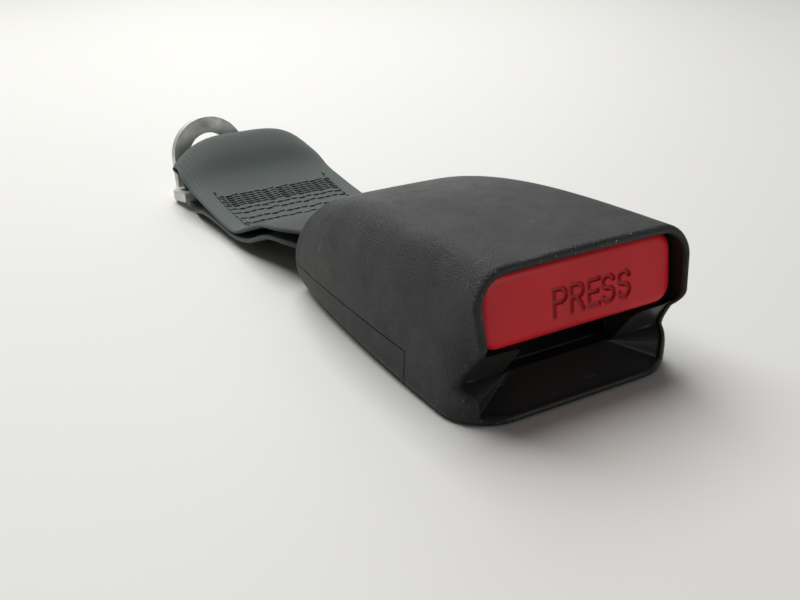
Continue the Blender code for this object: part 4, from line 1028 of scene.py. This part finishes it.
def sewn_lines():
    """Rows of sewing across both layers: a dense band at each end, single rows between, and two sides."""
    upper, lower = strap_heights()
    rows = [(y, DENSE_HALF) for first, last, count in DENSE_BANDS for y in np.linspace(first, last, count)]
    rows += [(y, SINGLE_HALF) for y in SINGLE_ROWS]
    lines = []
    for table, way in ((upper, 1), (lower, -1)):
        def height(y):
            z = float(np.interp(y, table[:, 0], table[:, 1]))
            return z + way * (WEB_THICKNESS / 2 + looks().thread_radius * 0.35)
        for y, half in rows:
            steps = np.linspace(-half, half, 18)
            lines.append([(x, y + SEWN_ZIGZAG * (-1) ** i + FRONT_Y, height(y)) for i, x in enumerate(steps)])
        for x in (-SEWN_SIDE, SEWN_SIDE):
            lines.append([(x, y + FRONT_Y, height(y)) for y in np.linspace(SEWN_START, SEWN_END, 14)])
    return lines


class BUCKLE_OT_stitching(bpy.types.Operator):
    """Sew the strap's two layers together"""

    bl_idname = "buckle.stitching"
    bl_label = "Stitching"

    def execute(self, context):
        work = bmesh.new()
        for line in sewn_lines():
            verts = [work.verts.new(p) for p in line]
            for a, b in zip(verts, verts[1:]):
                work.edges.new((a, b))
        lines = bpy.data.objects.new("sewn_lines", mesh_from(work, "sewn_lines"))
        context.scene.collection.objects.link(lines)
        skin = bonded_thread()
        layer = lines.modifiers.new("sewing", "NODES")
        layer.node_group = stitch_tree(skin)
        sockets = {s.name: s.identifier for s in layer.node_group.interface.items_tree if s.in_out == "INPUT"}
        layer[sockets["Stitch length"]] = looks().stitch_length
        layer[sockets["Thread radius"]] = looks().thread_radius
        result = evaluated_mesh(lines)
        bpy.data.objects.remove(lines)
        stitches = piece_from("sewing_thread", result, skin, math.radians(60))
        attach(stitches, "housing")
        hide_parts("stitching")
        return {"FINISHED"}


def merged_copy(name):
    """A CAD node's mesh with its loose triangles merged and flat faces joined."""
    work = bmesh.new()
    work.from_mesh(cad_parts[name].data)
    bmesh.ops.remove_doubles(work, verts=work.verts, dist=0.00001)
    bmesh.ops.dissolve_limit(work, angle_limit=math.radians(3), verts=work.verts, edges=work.edges)
    mesh = bpy.data.meshes.new(name)
    work.to_mesh(mesh)
    work.free()
    return mesh


class BUCKLE_OT_anchor(bpy.types.Operator):
    """Make the anchor plate with its rounded edges"""

    bl_idname = "buckle.anchor"
    bl_label = "Anchor plate"

    def execute(self, context):
        plate = piece_from("anchor_plate_pressed", merged_copy("anchor_plate"), zinc_plated())
        bevelled(plate, looks().steel_edge, limit_method="ANGLE", angle_limit=math.radians(40),
                 harden_normals=True)
        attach(plate, "anchor")
        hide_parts("anchor_plate")
        return {"FINISHED"}


INNER_FINISHES = {
    "zinc": ("frame", "latch"),
    "wire": ("latch_pin", "pin_clip_left", "pin_clip_right", "latch_spring", "ejector_spring",
             "button_spring_left", "button_spring_right", "lock_pin"),
    "dark": ("tongue_guide", "lock_slider", "ejector"),
}


class BUCKLE_OT_inner_parts(bpy.types.Operator):
    """Finish the lock's inner parts and the felt pad"""

    bl_idname = "buckle.inner_parts"
    bl_label = "Inner parts"

    def execute(self, context):
        skins = {"zinc": zinc_plated("zinc_plated_frame", "#a3a7a8", 0.36), "wire": drawn_wire(),
                 "dark": dark_acetal()}
        for kind, names in INNER_FINISHES.items():
            for name in names:
                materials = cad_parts[name].data.materials
                materials.clear()
                materials.append(skins[kind])
        low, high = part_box("noise_pad")
        pad = piece_from("noise_pad_felt", box_mesh(low, high), needled_felt(), math.radians(60))
        bevelled(pad, PAD_EDGE)
        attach(pad, "housing")
        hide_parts("noise_pad")
        return {"FINISHED"}


# The camera, worked out from the outline of the object in the photograph
CAMERA_PLACE = (-0.1213, -0.1304 + FRONT_Y, 0.0978)
CAMERA_YAW, CAMERA_PITCH, CAMERA_ROLL = (math.radians(v) for v in (31.2, 23.4, -0.84))
CAMERA_LENS = 46.26
# Each lamp's name, place and size, all aimed at one point
LAMPS = (("key", (-0.05, 0.40, 0.80), 0.8), ("back", (0.55, 0.95, 0.55), 0.7),
         ("fill", (0.35, -0.85, 0.16), 0.4))
LIT_POINT = (0.0, -0.03, 0.01)
SKY_COLOUR, SKY_STRENGTH = "#e4e4e2", 0.14
FLOOR_HALF, FLOOR_DROP = 2.0, 0.0001


def add_camera(scene):
    """The camera at the photograph's viewing angle."""
    level = math.cos(CAMERA_PITCH)
    ahead = Vector((math.sin(CAMERA_YAW) * level, math.cos(CAMERA_YAW) * level, -math.sin(CAMERA_PITCH)))
    right = Vector((math.cos(CAMERA_YAW), -math.sin(CAMERA_YAW), 0.0))
    up = right.cross(ahead)
    turned = right * math.cos(CAMERA_ROLL) + up * math.sin(CAMERA_ROLL)
    upright = up * math.cos(CAMERA_ROLL) - right * math.sin(CAMERA_ROLL)
    lens = bpy.data.cameras.new("camera")
    lens.lens, lens.sensor_width = CAMERA_LENS, 36.0
    lens.clip_start = 0.005
    camera = bpy.data.objects.new("camera", lens)
    turn = Matrix((turned, upright, -ahead)).transposed().to_4x4()
    camera.matrix_world = Matrix.Translation(CAMERA_PLACE) @ turn
    scene.collection.objects.link(camera)
    scene.camera = camera


def add_lamp(scene, name, place, size, watts):
    data = bpy.data.lights.new(name, "AREA")
    data.energy, data.size = watts, size
    lamp = bpy.data.objects.new(name, data)
    lamp.location = place
    lamp.rotation_euler = (Vector(LIT_POINT) - Vector(place)).to_track_quat("-Z", "Y").to_euler()
    scene.collection.objects.link(lamp)


class BUCKLE_OT_stage(bpy.types.Operator):
    """Set the floor, the lights and the camera"""

    bl_idname = "buckle.stage"
    bl_label = "Stage"

    def execute(self, context):
        scene = context.scene
        stage = scene.buckle_stage
        add_camera(scene)
        work = bmesh.new()
        bmesh.ops.create_grid(work, x_segments=1, y_segments=1, size=FLOOR_HALF)
        bmesh.ops.translate(work, verts=work.verts, vec=(0.0, 0.0, -FLOOR_DROP))
        mesh = bpy.data.meshes.new("floor")
        work.to_mesh(mesh)
        work.free()
        skin = finish_named("painted_floor", stage.floor_colour, 0.6)[0]
        floor = bpy.data.objects.new("floor", mesh)
        mesh.materials.append(skin)
        scene.collection.objects.link(floor)
        world = bpy.data.worlds.new("studio")
        world.use_nodes = True
        sky = world.node_tree.nodes["Background"]
        sky.inputs[0].default_value = (*linear(SKY_COLOUR), 1.0)
        sky.inputs[1].default_value = SKY_STRENGTH
        scene.world = world
        for name, place, size in LAMPS:
            add_lamp(scene, name, place, size, getattr(stage, name + "_power"))
        scene.view_settings.view_transform = "Standard"
        return {"FINISHED"}


OPERATORS = (BUCKLE_OT_covers, BUCKLE_OT_button, BUCKLE_OT_strap, BUCKLE_OT_stitching, BUCKLE_OT_anchor,
             BUCKLE_OT_inner_parts, BUCKLE_OT_stage)


class BUCKLE_PT_panel(bpy.types.Panel):
    """Lists the buckle's pieces and sizes"""

    bl_idname = "BUCKLE_PT_panel"
    bl_label = "Seat belt buckle"
    bl_space_type = "VIEW_3D"
    bl_region_type = "UI"
    bl_category = "Buckle"

    def draw(self, context):
        for operator in OPERATORS:
            self.layout.operator(operator.bl_idname)
        for group in (context.scene.buckle_looks, context.scene.buckle_stage):
            for name in group.__annotations__:
                self.layout.prop(group, name)


CLASSES = (BuckleLooks, StageLooks, *OPERATORS, BUCKLE_PT_panel)


def register():
    for kind in CLASSES:
        bpy.utils.register_class(kind)
    bpy.types.Scene.buckle_looks = PointerProperty(type=BuckleLooks)
    bpy.types.Scene.buckle_stage = PointerProperty(type=StageLooks)


def unregister():
    del bpy.types.Scene.buckle_stage
    del bpy.types.Scene.buckle_looks
    for kind in reversed(CLASSES):
        bpy.utils.unregister_class(kind)


def main():
    register()
    for name in ("covers", "button", "strap", "stitching", "anchor", "inner_parts", "stage"):
        getattr(bpy.ops.buckle, name)()


if __name__ == "__main__":
    main()
